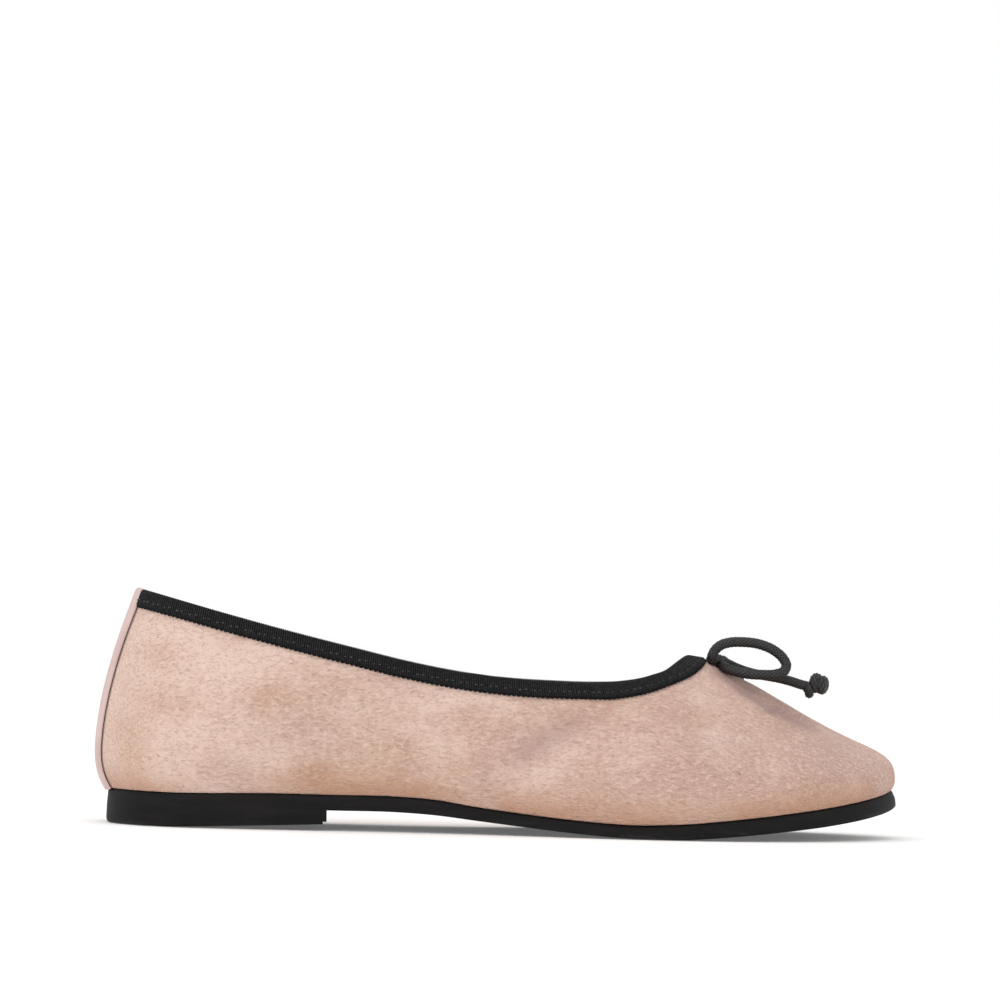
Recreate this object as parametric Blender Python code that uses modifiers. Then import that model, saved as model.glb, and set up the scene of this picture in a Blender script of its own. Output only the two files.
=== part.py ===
"""Ballet flat with a folded topline ribbon, a heel strip and a small cord bow.

One right shoe, toe along +X, outer side along -Y, standing on the plane Z = 0.
The origin is the middle of the shoe's own box, bow left out, on the floor.
The upper is worked out as a fan of half sections. Each one climbs from the
joint with the sole to the topline, and a row number tells them apart:
0 is the middle of the heel, 12 is the toe and 24 is the heel again.
"""
import math

import bmesh
import bpy
import numpy as np

# Driving sizes, in metres
SHOE_LENGTH = 0.2490
BALL_WIDTH = 0.0790
SOLE_THICKNESS = 0.0044
HEEL_LIFT = 0.0058
HEEL_LENGTH = 0.0656
HEEL_RELIEF = 0.0018
TOE_SPRING = 0.0118
SOLE_FLARE = 0.0014
SOLE_EDGE_RADIUS = 0.0007
BACK_HEIGHT = 0.0702
SIDE_HEIGHT = 0.0450
INSTEP_HEIGHT = 0.0541
UPPER_WALL = 0.0018
INSOLE_THICKNESS = 0.0030
BINDING_LEG = 0.0045
BINDING_THICKNESS = 0.0008
STRIP_WIDTH = 0.0130
STRIP_THICKNESS = 0.0010
STRIP_INNER_LEG = 0.0120
KNOT_STAND_OFF = 0.0012
CORD_DIAMETER = 0.0033
BOW_KNOT_WIDTH = 0.0084
TAIL_KNOT_WIDTH = 0.0062
FIT_GAP = 0.0003

# Where the arch ends and where the heel's underside starts to rise,
# as shares of SHOE_LENGTH from the heel and of HEEL_LENGTH behind its breast
ARCH_END = 0.655
HEEL_FLAT_END = 0.70

# How finely the solids are faceted
STATIONS_PER_ROW = 4
LOWER_STEPS = 3
UPPER_STEPS = 9
STRIP_COLUMNS = 7
STRIP_STEPS = 12
STRIP_INNER_STEPS = 3
ARCH_STEPS = 14
CORD_POINTS = 22
FINE_STEPS = 60
ROW_STEP = 1e-3
RIBBON_MARGIN = 0.08
FOLD_ROUND = 0.70
LOWER_SHARE = LOWER_STEPS / (LOWER_STEPS + UPPER_STEPS)

# Outlines seen from above, one row for each half section.
# Along is a share of SHOE_LENGTH from the heel, across a share of BALL_WIDTH.
OUTLINE = (
    # foot_along, foot_across, top_along, top_across
    (0.0120, 0.000, 0.0425, 0.000),
    (0.0470, -0.226, 0.0720, -0.176),
    (0.1120, -0.322, 0.1410, -0.274),
    (0.2080, -0.342, 0.2330, -0.328),
    (0.3200, -0.346, 0.3330, -0.362),
    (0.4330, -0.372, 0.4310, -0.384),
    (0.5440, -0.432, 0.5230, -0.388),
    (0.6440, -0.486, 0.6010, -0.366),
    (0.7320, -0.490, 0.6570, -0.310),
    (0.8130, -0.442, 0.6960, -0.226),
    (0.8880, -0.336, 0.7170, -0.130),
    (0.9490, -0.180, 0.7240, -0.048),
    (0.9860, 0.050, 0.7250, 0.026),
    (0.9680, 0.234, 0.7215, 0.100),
    (0.9180, 0.362, 0.7095, 0.184),
    (0.8440, 0.454, 0.6840, 0.272),
    (0.7620, 0.484, 0.6430, 0.338),
    (0.6730, 0.444, 0.5900, 0.364),
    (0.5790, 0.344, 0.5130, 0.362),
    (0.4710, 0.256, 0.4260, 0.350),
    (0.3510, 0.254, 0.3310, 0.334),
    (0.2280, 0.308, 0.2330, 0.310),
    (0.1200, 0.318, 0.1410, 0.266),
    (0.0470, 0.226, 0.0720, 0.176),
)

# How a half section swells between sole and topline, from the heel, 0, to the toe, 12.
# Bulge is a share of BALL_WIDTH, wall and rise are shares of SIDE_HEIGHT, mid_in and
# mid_up are shares of the way from the widest point to the topline, slope is the
# fall away from the topline in degrees and reach a share of BALL_WIDTH.
FORM = (
    # row, outer_bulge, inner_bulge, wall, rise, mid_in, mid_up, slope, reach
    (0.0, 0.041, 0.041, 0.260, 0.220, 0.24, 0.52, 71.0, 0.14),
    (2.0, 0.046, 0.044, 0.290, 0.200, 0.28, 0.55, 72.0, 0.13),
    (4.0, 0.044, 0.090, 0.310, 0.140, 0.26, 0.55, 74.0, 0.10),
    (6.0, 0.040, 0.060, 0.270, 0.120, 0.22, 0.52, 66.0, 0.10),
    (8.0, 0.026, 0.022, 0.190, 0.170, 0.22, 0.44, 44.0, 0.11),
    (10.0, 0.016, 0.016, 0.110, 0.260, 0.24, 0.20, 10.0, 0.16),
    (12.0, 0.012, 0.012, 0.066, 0.324, 0.25, 0.105, -3.0, 0.19),
)

# Height of the topline, as shares of the steps between the three named heights.
TOPLINE = (
    # along, back_share, outer_instep, inner_instep
    (0.0425, 1.000, 0.00, 0.00),
    (0.149, 0.720, 0.00, 0.00),
    (0.225, 0.535, 0.00, 0.00),
    (0.307, 0.350, 0.00, 0.00),
    (0.370, 0.212, 0.00, 0.00),
    (0.431, 0.108, 0.00, 0.00),
    (0.494, 0.040, 0.00, 0.00),
    (0.570, 0.006, 0.00, 0.00),
    (0.620, 0.000, 0.02, 0.00),
    (0.650, 0.000, 0.16, 0.03),
    (0.690, 0.000, 0.53, 0.24),
    (0.708, 0.000, 0.73, 0.46),
    (0.717, 0.000, 0.87, 0.72),
    (0.725, 0.000, 1.00, 1.00),
)

# Side of the sole unit, as shares of HEEL_LIFT, TOE_SPRING, SOLE_THICKNESS and SOLE_FLARE.
SOLE_SIDE = (
    # along, heel, spring, thick, flare
    (0.000, 1.00, 0.00, 1.00, 0.30),
    (0.100, 0.95, 0.00, 1.00, 0.30),
    (0.205, 1.04, 0.00, 1.00, 0.35),
    (0.285, 1.03, 0.00, 1.00, 0.40),
    (0.360, 1.02, 0.00, 1.00, 0.50),
    (0.407, 0.91, 0.00, 0.98, 0.60),
    (0.453, 0.70, 0.00, 0.87, 0.70),
    (0.505, 0.47, 0.00, 0.82, 0.80),
    (0.585, 0.15, 0.00, 0.82, 0.90),
    (0.650, 0.00, 0.00, 0.86, 1.00),
    (0.700, 0.00, 0.00, 0.98, 1.00),
    (0.754, 0.00, 0.08, 1.06, 1.00),
    (0.824, 0.00, 0.23, 1.12, 1.00),
    (0.894, 0.00, 0.41, 1.19, 1.00),
    (0.942, 0.00, 0.58, 1.21, 1.00),
    (0.970, 0.00, 0.71, 1.20, 1.00),
    (1.000, 0.00, 0.92, 1.15, 1.00),
)

# Side of the sole unit as rings around it, from the seat down to the tread.
SOLE_RINGS = (
    # drop, flare, inset
    (0.00, 0.0, 0.0),
    (0.45, 0.8, 0.0),
    (0.86, 1.0, 0.0),
    (1.00, 1.0, 1.0),
)

# Round lobes of the bow's knot, as shares of half of BOW_KNOT_WIDTH.
KNOT_LOBES = (
    # across, up, length_radius, across_radius, height_radius
    (0.00, 0.00, 0.54, 0.62, 0.50),
    (-0.45, 0.06, 0.48, 0.55, 0.44),
    (0.45, 0.00, 0.48, 0.55, 0.44),
)

# Lobes of a tail's end knot, as shares of half of TAIL_KNOT_WIDTH, and the ways they lean.
SMALL_LOBE = 0.72
SMALL_LOBE_LEAN = 0.45
BIG_LOBE_AHEAD = 0.95
BIG_LOBE_LEAN = 0.30
OUTER_LEAN = (0.0, 0.0, 1.0)
INNER_LEAN = (0.64, -0.64, 0.40)

# Routes of the bow, in metres from the middle of its knot: forward, across and up.
OUTER_LOOP = (
    (-0.0010, -0.0055, 0.0004),
    (-0.0007, -0.0063, 0.0019),
    (0.0007, -0.0067, 0.0031),
    (0.0031, -0.0068, 0.0038),
    (0.0062, -0.0069, 0.0040),
    (0.0099, -0.0074, 0.0038),
    (0.0137, -0.0080, 0.0029),
    (0.0172, -0.0088, 0.0012),
    (0.0199, -0.0096, -0.0009),
    (0.0209, -0.0103, -0.0030),
    (0.0200, -0.0108, -0.0049),
    (0.0168, -0.0110, -0.0061),
    (0.0127, -0.0107, -0.0062),
    (0.0090, -0.0099, -0.0057),
    (0.0056, -0.0086, -0.0045),
    (0.0028, -0.0066, -0.0024),
)
INNER_LOOP = (
    (0.0020, 0.0048, -0.0010),
    (0.0023, 0.0078, -0.0029),
    (0.0032, 0.0112, -0.0048),
    (0.0052, 0.0144, -0.0073),
    (0.0080, 0.0170, -0.0102),
    (0.0112, 0.0192, -0.0131),
    (0.0146, 0.0214, -0.0162),
    (0.0172, 0.0238, -0.0192),
    (0.0184, 0.0264, -0.0217),
    (0.0172, 0.0288, -0.0232),
    (0.0142, 0.0294, -0.0226),
    (0.0108, 0.0278, -0.0198),
    (0.0076, 0.0250, -0.0160),
    (0.0046, 0.0216, -0.0121),
    (0.0020, 0.0178, -0.0082),
    (-0.0003, 0.0136, -0.0047),
    (-0.0015, 0.0094, -0.0020),
    (-0.0018, 0.0052, -0.0003),
)
OUTER_TAIL = (
    (0.0032, -0.0022, -0.0018),
    (0.0068, -0.0036, -0.0039),
    (0.0104, -0.0042, -0.0057),
    (0.0142, -0.0045, -0.0068),
    (0.0188, -0.0049, -0.0078),
    (0.0228, -0.0053, -0.0087),
    (0.0262, -0.0057, -0.0092),
)
INNER_TAIL = (
    (0.0043, 0.0018, -0.0023),
    (0.0065, 0.0056, -0.0042),
    (0.0084, 0.0096, -0.0063),
    (0.0110, 0.0128, -0.0091),
    (0.0142, 0.0154, -0.0121),
    (0.0178, 0.0178, -0.0150),
    (0.0210, 0.0200, -0.0172),
    (0.0236, 0.0222, -0.0188),
)

ROWS = len(OUTLINE)
TOE_ROW = ROWS // 2
UP = np.array((0.0, 0.0, 1.0))


def column(table, index):
    """One named column of a table as an array."""
    return np.array([row[index] for row in table], dtype=float)


def curve_through(knots, values, at):
    """A smooth curve through the rows of a table, its slopes taken from the neighbours."""
    steps = np.diff(knots)
    rises = np.diff(values) / steps
    inner = (rises[:-1] * steps[1:] + rises[1:] * steps[:-1]) / (steps[:-1] + steps[1:])
    slopes = np.concatenate((rises[:1], inner, rises[-1:]))
    cell = np.clip(np.searchsorted(knots, at, side="right") - 1, 0, len(steps) - 1)
    t = (at - knots[cell]) / steps[cell]
    start, end = values[cell], values[cell + 1]
    leave, arrive = slopes[cell] * steps[cell], slopes[cell + 1] * steps[cell]
    return (start * (1 + 2 * t) * (1 - t) ** 2 + leave * t * (1 - t) ** 2
            + end * t ** 2 * (3 - 2 * t) - arrive * t ** 2 * (1 - t))


def closed_curve(values, at):
    """A smooth closed curve through evenly spaced rows, read at row numbers."""
    count = len(values)
    ring = np.eye(count)
    matrix = 4 * ring + np.roll(ring, 1, axis=1) + np.roll(ring, -1, axis=1)
    bend = np.linalg.solve(
        matrix, 6 * (np.roll(values, -1) - 2 * values + np.roll(values, 1)))
    cell = np.floor(at).astype(int)
    t = at - cell
    here, after = cell % count, (cell + 1) % count
    return ((1 - t) * values[here] + t * values[after]
            - t * (1 - t) * ((2 - t) * bend[here] + (1 + t) * bend[after]) / 6)


def outline_point(row, first_column):
    """Plan position of the outline, and its outward normal, at row numbers."""
    along = SHOE_LENGTH * column(OUTLINE, first_column)
    across = BALL_WIDTH * column(OUTLINE, first_column + 1)
    spots = [np.stack((closed_curve(along, row + step), closed_curve(across, row + step)), -1)
             for step in (0.0, -ROW_STEP, ROW_STEP)]
    run = spots[2] - spots[1]
    run /= np.linalg.norm(run, axis=-1, keepdims=True)
    return spots[0], np.stack((run[..., 1], -run[..., 0]), -1)


def form(name, row):
    """One column of the FORM table at row numbers, mirrored past heel and toe."""
    names = ("row", "outer_bulge", "inner_bulge", "wall", "rise",
             "mid_in", "mid_up", "slope", "reach")
    knots = column(FORM, 0)
    values = column(FORM, names.index(name))
    knots = np.concatenate((-knots[:0:-1], knots, 2 * TOE_ROW - knots[-2::-1]))
    values = np.concatenate((values[:0:-1], values, values[-2::-1]))
    turned = np.abs((row + TOE_ROW) % ROWS - TOE_ROW)
    return curve_through(knots, values, turned)


def inner_side(row):
    """0 on the outer side of the shoe, 1 on its inner side, changing smoothly."""
    return 0.5 - 0.5 * np.sin(2 * np.pi * row / ROWS)


def bulge(row):
    """How far the widest point stands out past the sole joint."""
    side = inner_side(row)
    return BALL_WIDTH * ((1 - side) * form("outer_bulge", row) + side * form("inner_bulge", row))


def sole_share(name, along):
    """One column of the SOLE_SIDE table at distances from the heel."""
    names = ("along", "heel", "spring", "thick", "flare")
    return curve_through(SHOE_LENGTH * column(SOLE_SIDE, 0),
                         column(SOLE_SIDE, names.index(name)), along)


def sole_bottom(along):
    """Underside of the sole unit, before the arch is cut."""
    return TOE_SPRING * np.maximum(sole_share("spring", along), 0.0)


def sole_top(along):
    """The seat that the upper and the insole stand on."""
    return (sole_bottom(along) + HEEL_LIFT * sole_share("heel", along)
            + SOLE_THICKNESS * sole_share("thick", along))


def topline_height(along, row):
    """Height of the upper's cut edge above the floor."""
    knots = SHOE_LENGTH * column(TOPLINE, 0)
    back = curve_through(knots, column(TOPLINE, 1), along)
    outer = curve_through(knots, column(TOPLINE, 2), along)
    inner = curve_through(knots, column(TOPLINE, 3), along)
    instep = outer + (inner - outer) * inner_side(row)
    return (SIDE_HEIGHT + (BACK_HEIGHT - SIDE_HEIGHT) * back
            + (INSTEP_HEIGHT - SIDE_HEIGHT) * instep)


def bezier(controls, t):
    """Points of one Bezier curve per row, for a list of control points."""
    degree = len(controls) - 1
    t = t[..., None]
    return sum(math.comb(degree, i) * (1 - t) ** (degree - i) * t ** i * point
               for i, point in enumerate(controls))


def lift(plan, height):
    """Plan points with a height."""
    return np.concatenate((plan, height[..., None]), -1)


def upper_surface(row, share):
    """Outer face of the upper. Share runs from the sole joint, 0, to the topline, 1."""
    row, share = np.broadcast_arrays(np.asarray(row, float), np.asarray(share, float))
    foot_plan, foot_out = outline_point(row, 0)
    top_plan, top_out = outline_point(row, 2)
    foot_out = lift(foot_out, np.zeros(row.shape))
    top_out = lift(top_out, np.zeros(row.shape))
    foot = lift(foot_plan, sole_top(foot_plan[..., 0]) + FIT_GAP)
    top = lift(top_plan, topline_height(top_plan[..., 0], row))
    swell = bulge(row)[..., None] * foot_out
    wall = (SIDE_HEIGHT * form("wall", row))[..., None] * UP
    wide = foot + swell + wall
    rise = (SIDE_HEIGHT * form("rise", row))[..., None] * UP
    slope = np.radians(form("slope", row))[..., None]
    fall = top_out * np.cos(slope) - UP * np.sin(slope)
    way = top - wide
    middle = wide + way * np.where(UP > 0, form("mid_up", row)[..., None],
                                   form("mid_in", row)[..., None])
    lower = bezier((foot, foot + 0.60 * swell + 0.25 * wall, wide - 0.45 * wall, wide),
                   np.clip(share / LOWER_SHARE, 0, 1))
    upper = bezier((wide, wide + rise, middle,
                    top + fall * (BALL_WIDTH * form("reach", row))[..., None], top),
                   np.clip((share - LOWER_SHARE) / (1 - LOWER_SHARE), 0, 1))
    return np.where(share[..., None] < LOWER_SHARE, lower, upper)


def depth_shares(row):
    """Shares down one half section and their depths below the topline, along the face."""
    shares = np.linspace(1.0, 0.0, FINE_STEPS + 1)
    steps = np.linalg.norm(np.diff(upper_surface(row, shares), axis=0), axis=1)
    return shares, np.concatenate(([0.0], np.cumsum(steps)))


def beside_wall(row, depths, heights):
    """Points beside the upper: depths below its cut edge, heights off its outer face."""
    depths, heights = np.array(depths, float), np.array(heights, float)
    shares, lengths = depth_shares(row)
    share = np.interp(depths, lengths, shares)
    high = np.minimum(share + ROW_STEP, 1.0)
    up_run = upper_surface(row, high) - upper_surface(row, high - ROW_STEP)
    side_run = upper_surface(row + ROW_STEP, share) - upper_surface(row - ROW_STEP, share)
    normal = np.cross(side_run, up_run)
    normal /= np.linalg.norm(normal, axis=1, keepdims=True)
    up_run /= np.linalg.norm(up_run, axis=1, keepdims=True)
    past = np.maximum(-depths, 0.0)
    return upper_surface(row, share) + up_run * past[:, None] + normal * heights[:, None]


def ribbon_share(row):
    """Share of a half section where the ribbon's lower edge lies."""
    shares, lengths = depth_shares(row)
    return np.interp(BINDING_LEG, lengths, shares)


def ribbon_ring(row, depths, heights):
    """One section of the ribbon, square to the wall's straight top edge."""
    share = ribbon_share(row)
    top, low = upper_surface(row, 1.0), upper_surface(row, share)
    down = (low - top) / np.linalg.norm(low - top)
    side = upper_surface(row + ROW_STEP, 1.0) - upper_surface(row - ROW_STEP, 1.0)
    side += upper_surface(row + ROW_STEP, share) - upper_surface(row - ROW_STEP, share)
    normal = np.cross(down, side)
    normal /= np.linalg.norm(normal)
    return top + np.outer(depths, down) + np.outer(heights, normal)


def origin_shift():
    """From heel and centre line to the origin in the middle of the shoe's box."""
    rows = np.linspace(0, ROWS, ROWS * STATIONS_PER_ROW + 1)
    wide = upper_surface(rows, LOWER_SHARE)
    sole = sole_ring(rows, drop=0.0, flare=1.0, inset=0.0)
    box = np.concatenate((wide, sole))
    return -0.5 * (box.min(axis=0) + box.max(axis=0)) * (1, 1, 0)


def finish(name, material):
    """A material of its own for one part."""
    colour, roughness = material
    made = bpy.data.materials.new(name)
    made.use_nodes = True
    shader = made.node_tree.nodes["Principled BSDF"]
    shader.inputs["Base Color"].default_value = (*colour, 1.0)
    shader.inputs["Roughness"].default_value = roughness
    shader.inputs["Metallic"].default_value = 0.0
    return made


def add_part(name, mesh, material, collection):
    """A named object with its own finish."""
    part = bpy.data.objects.new(name, mesh)
    collection.objects.link(part)
    mesh.materials.append(finish(name, material))
    return part


def mesh_from(name, points, faces):
    """A mesh whose faces all point the same way out."""
    mesh = bpy.data.meshes.new(name)
    mesh.from_pydata([tuple(point) for point in points], [], faces)
    mesh.update()
    return mesh


def band_faces(rings, count, closed):
    """Quads between neighbouring rings of the same number of points."""
    faces = []
    last = count if closed else count - 1
    for ring in range(rings - 1):
        for i in range(last):
            j = (i + 1) % count
            here, there = ring * count, (ring + 1) * count
            faces.append((here + i, here + j, there + j, there + i))
    return faces


def cap_faces(first, count, upward):
    """A ladder of quads across one ring, from the outer side to the inner side."""
    faces = [(first, first + 1, first + count - 1)]
    for i in range(1, count // 2 - 1):
        j = count - i
        faces.append((first + i, first + i + 1, first + j - 1, first + j))
    half = count // 2
    faces.append((first + half - 1, first + half, first + half + 1))
    if upward:
        return faces
    return [face[::-1] for face in faces]


def stacked_solid(name, rings):
    """A closed solid from rings around the shoe, listed from the top down."""
    count = len(rings[0])
    faces = band_faces(len(rings), count, True)
    faces = [face[::-1] for face in faces]
    faces += cap_faces(0, count, True)
    faces += cap_faces((len(rings) - 1) * count, count, False)
    return mesh_from(name, np.concatenate(rings), faces)


def station_rows():
    """Row numbers of the faceted sections all round the shoe."""
    return np.arange(ROWS * STATIONS_PER_ROW) / STATIONS_PER_ROW


def sole_ring(rows, drop, flare, inset):
    """One ring of the sole's side. Drop runs from the seat, 0, to the ground, 1."""
    plan, out = outline_point(rows, 0)
    along = plan[:, 0]
    spread = SOLE_FLARE * sole_share("flare", along) * flare - SOLE_EDGE_RADIUS * inset
    top, bottom = sole_top(along), sole_bottom(along)
    return lift(plan + out * spread[:, None], top + (bottom - top) * drop)


def make_outsole(parts, cutters):
    """Moulded sole unit with its low heel, cut away under the arch."""
    rings = [sole_ring(station_rows(), *ring) + SHIFT for ring in SOLE_RINGS]
    sole = add_part("outsole", stacked_solid("outsole", rings),
                    ((0.018, 0.017, 0.018), 0.55), parts)
    cutter = add_part("arch_cutter", arch_mesh(), ((0.5, 0.5, 0.5), 0.5), cutters)
    cutter.hide_render = True
    cutter.display_type = "WIRE"
    cut = sole.modifiers.new("arch", "BOOLEAN")
    cut.operation = "DIFFERENCE"
    cut.solver = "EXACT"
    cut.object = cutter
    return sole


def arch_mesh():
    """The space under the waist, from the heel's breast to the tread, as a prism."""
    below = -SOLE_THICKNESS
    breast = HEEL_LENGTH + SHOE_LENGTH * OUTLINE[0][0]
    tread = SHOE_LENGTH * ARCH_END
    along = np.linspace(breast, tread, ARCH_STEPS)
    height = HEEL_LIFT * sole_share("heel", along)
    relief = breast - HEEL_FLAT_END * HEEL_LENGTH
    profile = [(tread, below), (relief, below), (relief, 0.0), (breast, HEEL_RELIEF)]
    profile += list(zip(along, height))
    half = BALL_WIDTH
    points = [(x, side, z) for side in (-half, half) for x, z in profile]
    count = len(profile)
    faces = [tuple(range(count)), tuple(range(2 * count - 1, count - 1, -1))]
    faces += [(i + count, (i + 1) % count + count, (i + 1) % count, i) for i in range(count)]
    mesh = mesh_from("arch_cutter", np.array(points) + SHIFT, faces)
    shape = bmesh.new()
    shape.from_mesh(mesh)
    bmesh.ops.recalc_face_normals(shape, faces=shape.faces)
    shape.to_mesh(mesh)
    shape.free()
    return mesh


def make_upper(parts):
    """The suede upper: one shell, open at the topline and on the sole."""
    rows = station_rows()
    ribbon = np.array([ribbon_share(row) for row in rows])
    climb = np.linspace(0, 1, UPPER_STEPS)
    shares = list(np.linspace(0, LOWER_SHARE, LOWER_STEPS, endpoint=False))
    shares += [LOWER_SHARE + (ribbon - LOWER_SHARE) * step for step in climb] + [1.0]
    rings = [upper_surface(rows, share) + SHIFT for share in shares]
    mesh = mesh_from("upper", np.concatenate(rings), band_faces(len(rings), len(rows), True))
    upper = add_part("upper", mesh, ((0.70, 0.46, 0.38), 0.9), parts)
    shell = upper.modifiers.new("wall", "SOLIDIFY")
    shell.thickness = UPPER_WALL
    shell.offset = -1.0
    shell.use_even_offset = True
    return upper


def make_insole(parts):
    """Sock-covered insole board on the sole's seat, inside the upper."""
    rows = station_rows()
    plan, out = outline_point(rows, 0)
    inside = UPPER_WALL + 2 * FIT_GAP
    plan = plan - out * inside
    seat = sole_top(plan[:, 0]) + FIT_GAP
    rings = [lift(plan, seat + INSOLE_THICKNESS) + SHIFT, lift(plan, seat) + SHIFT]
    return add_part("insole", stacked_solid("insole", rings), ((0.72, 0.60, 0.50), 0.8), parts)


def strip_edge_row():
    """Row number where the heel strip ends along the topline."""
    rows = np.linspace(0, 2, FINE_STEPS + 1)
    line = upper_surface(rows, 1.0)
    lengths = np.concatenate(([0.0], np.cumsum(np.linalg.norm(np.diff(line, axis=0), axis=1))))
    return np.interp(STRIP_WIDTH / 2 + FIT_GAP, lengths, rows)


def make_binding(parts):
    """Ribbon folded over the topline, from one side of the heel strip to the other."""
    edge = strip_edge_row()
    first, last = edge + RIBBON_MARGIN, ROWS - edge - RIBBON_MARGIN
    rows = [edge] + [row for row in station_rows() if first < row < last] + [ROWS - edge]
    leg, thick, gap = BINDING_LEG, BINDING_THICKNESS, FIT_GAP
    far = -UPPER_WALL - gap
    turn, rest = FOLD_ROUND * thick, (1 - FOLD_ROUND) * thick
    section = ((leg, gap), (-gap, gap), (-gap, far), (leg, far),
               (leg, far - thick), (0.0, far - thick), (-gap - turn, far - rest),
               (-gap - thick, 0.5 * far),
               (-gap - turn, gap + rest), (0.0, gap + thick), (leg, gap + thick))
    rings = [ribbon_ring(row, *zip(*section)) + SHIFT for row in rows]
    count = len(section)
    faces = band_faces(len(rings), count, True)
    start = tuple(range(count))
    end = tuple(range((len(rings) - 1) * count, len(rings) * count))
    faces += [start[::-1], end]
    mesh = mesh_from("topline_binding", np.concatenate(rings), faces)
    return add_part("topline_binding", mesh, ((0.02, 0.02, 0.022), 0.85), parts)


def make_heel_strip(parts):
    """Strip down the back seam, turned over the topline to the inside."""
    within = -UPPER_WALL - FIT_GAP
    length = depth_shares(0.0)[1][-1]
    outside = [(depth, FIT_GAP) for depth in np.linspace(length, 0.0, STRIP_STEPS + 1)]
    inside = [(depth, within) for depth in np.linspace(0.0, STRIP_INNER_LEG, STRIP_INNER_STEPS + 1)]
    path = outside + [(-FIT_GAP, FIT_GAP), (-FIT_GAP, within)] + inside[1:]
    depths, heights = zip(*path)
    step = beside_wall(ROW_STEP, depths, heights) - beside_wall(-ROW_STEP, depths, heights)
    per_row = np.linalg.norm(step, axis=1) / (2 * ROW_STEP)
    per_row[len(outside):] = per_row[len(outside) - 1]
    columns = [[beside_wall(row, [depth], [height])[0] + SHIFT for row in
                np.linspace(-0.5, 0.5, STRIP_COLUMNS) * STRIP_WIDTH / pace]
               for depth, height, pace in zip(depths, heights, per_row)]
    faces = band_faces(len(columns), STRIP_COLUMNS, False)
    mesh = mesh_from("heel_strip", np.concatenate(columns), faces)
    strip = add_part("heel_strip", mesh, ((0.72, 0.52, 0.45), 0.8), parts)
    shell = strip.modifiers.new("thickness", "SOLIDIFY")
    shell.thickness = STRIP_THICKNESS
    shell.offset = 1.0
    shell.use_even_offset = True
    return strip


def bow_centre():
    """Middle of the bow's knot, just in front of the ribbon at the throat."""
    length_radius, height_radius = KNOT_LOBES[0][2], KNOT_LOBES[0][4]
    half = BOW_KNOT_WIDTH / 2
    ahead = BINDING_LEG + length_radius * half + KNOT_STAND_OFF
    clear = height_radius * half + FIT_GAP
    return beside_wall(float(TOE_ROW), [ahead], [clear])[0] + SHIFT


def smooth_route(route, count):
    """Points of a smooth curve through a route, evenly spaced by number."""
    route = np.array(route)
    knots = np.concatenate(([0.0], np.cumsum(np.linalg.norm(np.diff(route, axis=0), axis=1))))
    at = np.linspace(0, knots[-1], count)
    return np.stack([curve_through(knots, route[:, axis], at) for axis in range(3)], -1)


def make_cord(name, route, parts):
    """A round cord along a route that starts at the bow's knot."""
    curve = bpy.data.curves.new(name, "CURVE")
    curve.dimensions = "3D"
    curve.bevel_depth = CORD_DIAMETER / 2
    curve.bevel_resolution = 2
    curve.render_resolution_u = 0
    curve.use_fill_caps = True
    spline = curve.splines.new("POLY")
    points = smooth_route(route, CORD_POINTS) + bow_centre()
    spline.points.add(len(points) - 1)
    for spot, point in zip(spline.points, points):
        spot.co = (*point, 1.0)
    cord = bpy.data.objects.new(name, curve)
    parts.objects.link(cord)
    curve.materials.append(finish(name, ((0.02, 0.02, 0.022), 0.6)))
    return cord


def lobe_mesh(name, lobes):
    """Round lobes of a knot, each with its middle and its three radii."""
    shape = bmesh.new()
    for middle, radii in lobes:
        made = bmesh.ops.create_uvsphere(shape, u_segments=12, v_segments=8, radius=1.0)
        for vert in made["verts"]:
            vert.co = [m + r * c for m, r, c in zip(middle, radii, vert.co)]
    mesh = bpy.data.meshes.new(name)
    shape.to_mesh(mesh)
    shape.free()
    return mesh


def make_knot(name, lobes, parts, cutters):
    """A tied knot: its first lobe joined with the others."""
    knot = add_part(name, lobe_mesh(name, lobes[:1]), ((0.02, 0.02, 0.022), 0.6), parts)
    for number, lobe in enumerate(lobes[1:]):
        other = add_part(f"{name}_lobe_{number}", lobe_mesh(name, [lobe]),
                         ((0.02, 0.02, 0.022), 0.6), cutters)
        other.hide_render = True
        other.display_type = "WIRE"
        join = knot.modifiers.new("lobe", "BOOLEAN")
        join.operation = "UNION"
        join.solver = "EXACT"
        join.object = other
    return knot


def make_bow(parts, cutters):
    """Knot at the throat, a loop and a knotted tail on each side."""
    centre = bow_centre()
    half = BOW_KNOT_WIDTH / 2
    make_knot("bow_knot", [(centre + (0.0, across * half, up * half), np.array(radii) * half)
                           for across, up, *radii in KNOT_LOBES], parts, cutters)
    sides = {"outer": (OUTER_LOOP, OUTER_TAIL, OUTER_LEAN),
             "inner": (INNER_LOOP, INNER_TAIL, INNER_LEAN)}
    for side, (loop, tail, lean) in sides.items():
        make_cord(f"bow_loop_{side}", loop, parts)
        make_cord(f"bow_tail_{side}", tail, parts)
        end = np.array(tail[-1])
        run = end - np.array(tail[-2])
        run /= np.linalg.norm(run)
        lean = np.array(lean) / np.linalg.norm(lean)
        big, small = TAIL_KNOT_WIDTH / 2, SMALL_LOBE * TAIL_KNOT_WIDTH / 2
        seat = centre + end + run * (small + FIT_GAP)
        low = seat - lean * SMALL_LOBE_LEAN * big
        middle = seat + (run * BIG_LOBE_AHEAD + lean * BIG_LOBE_LEAN) * big
        make_knot(f"tail_knot_{side}", ((middle, (big, big, big)), (low, (small, small, small))),
                  parts, cutters)


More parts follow.
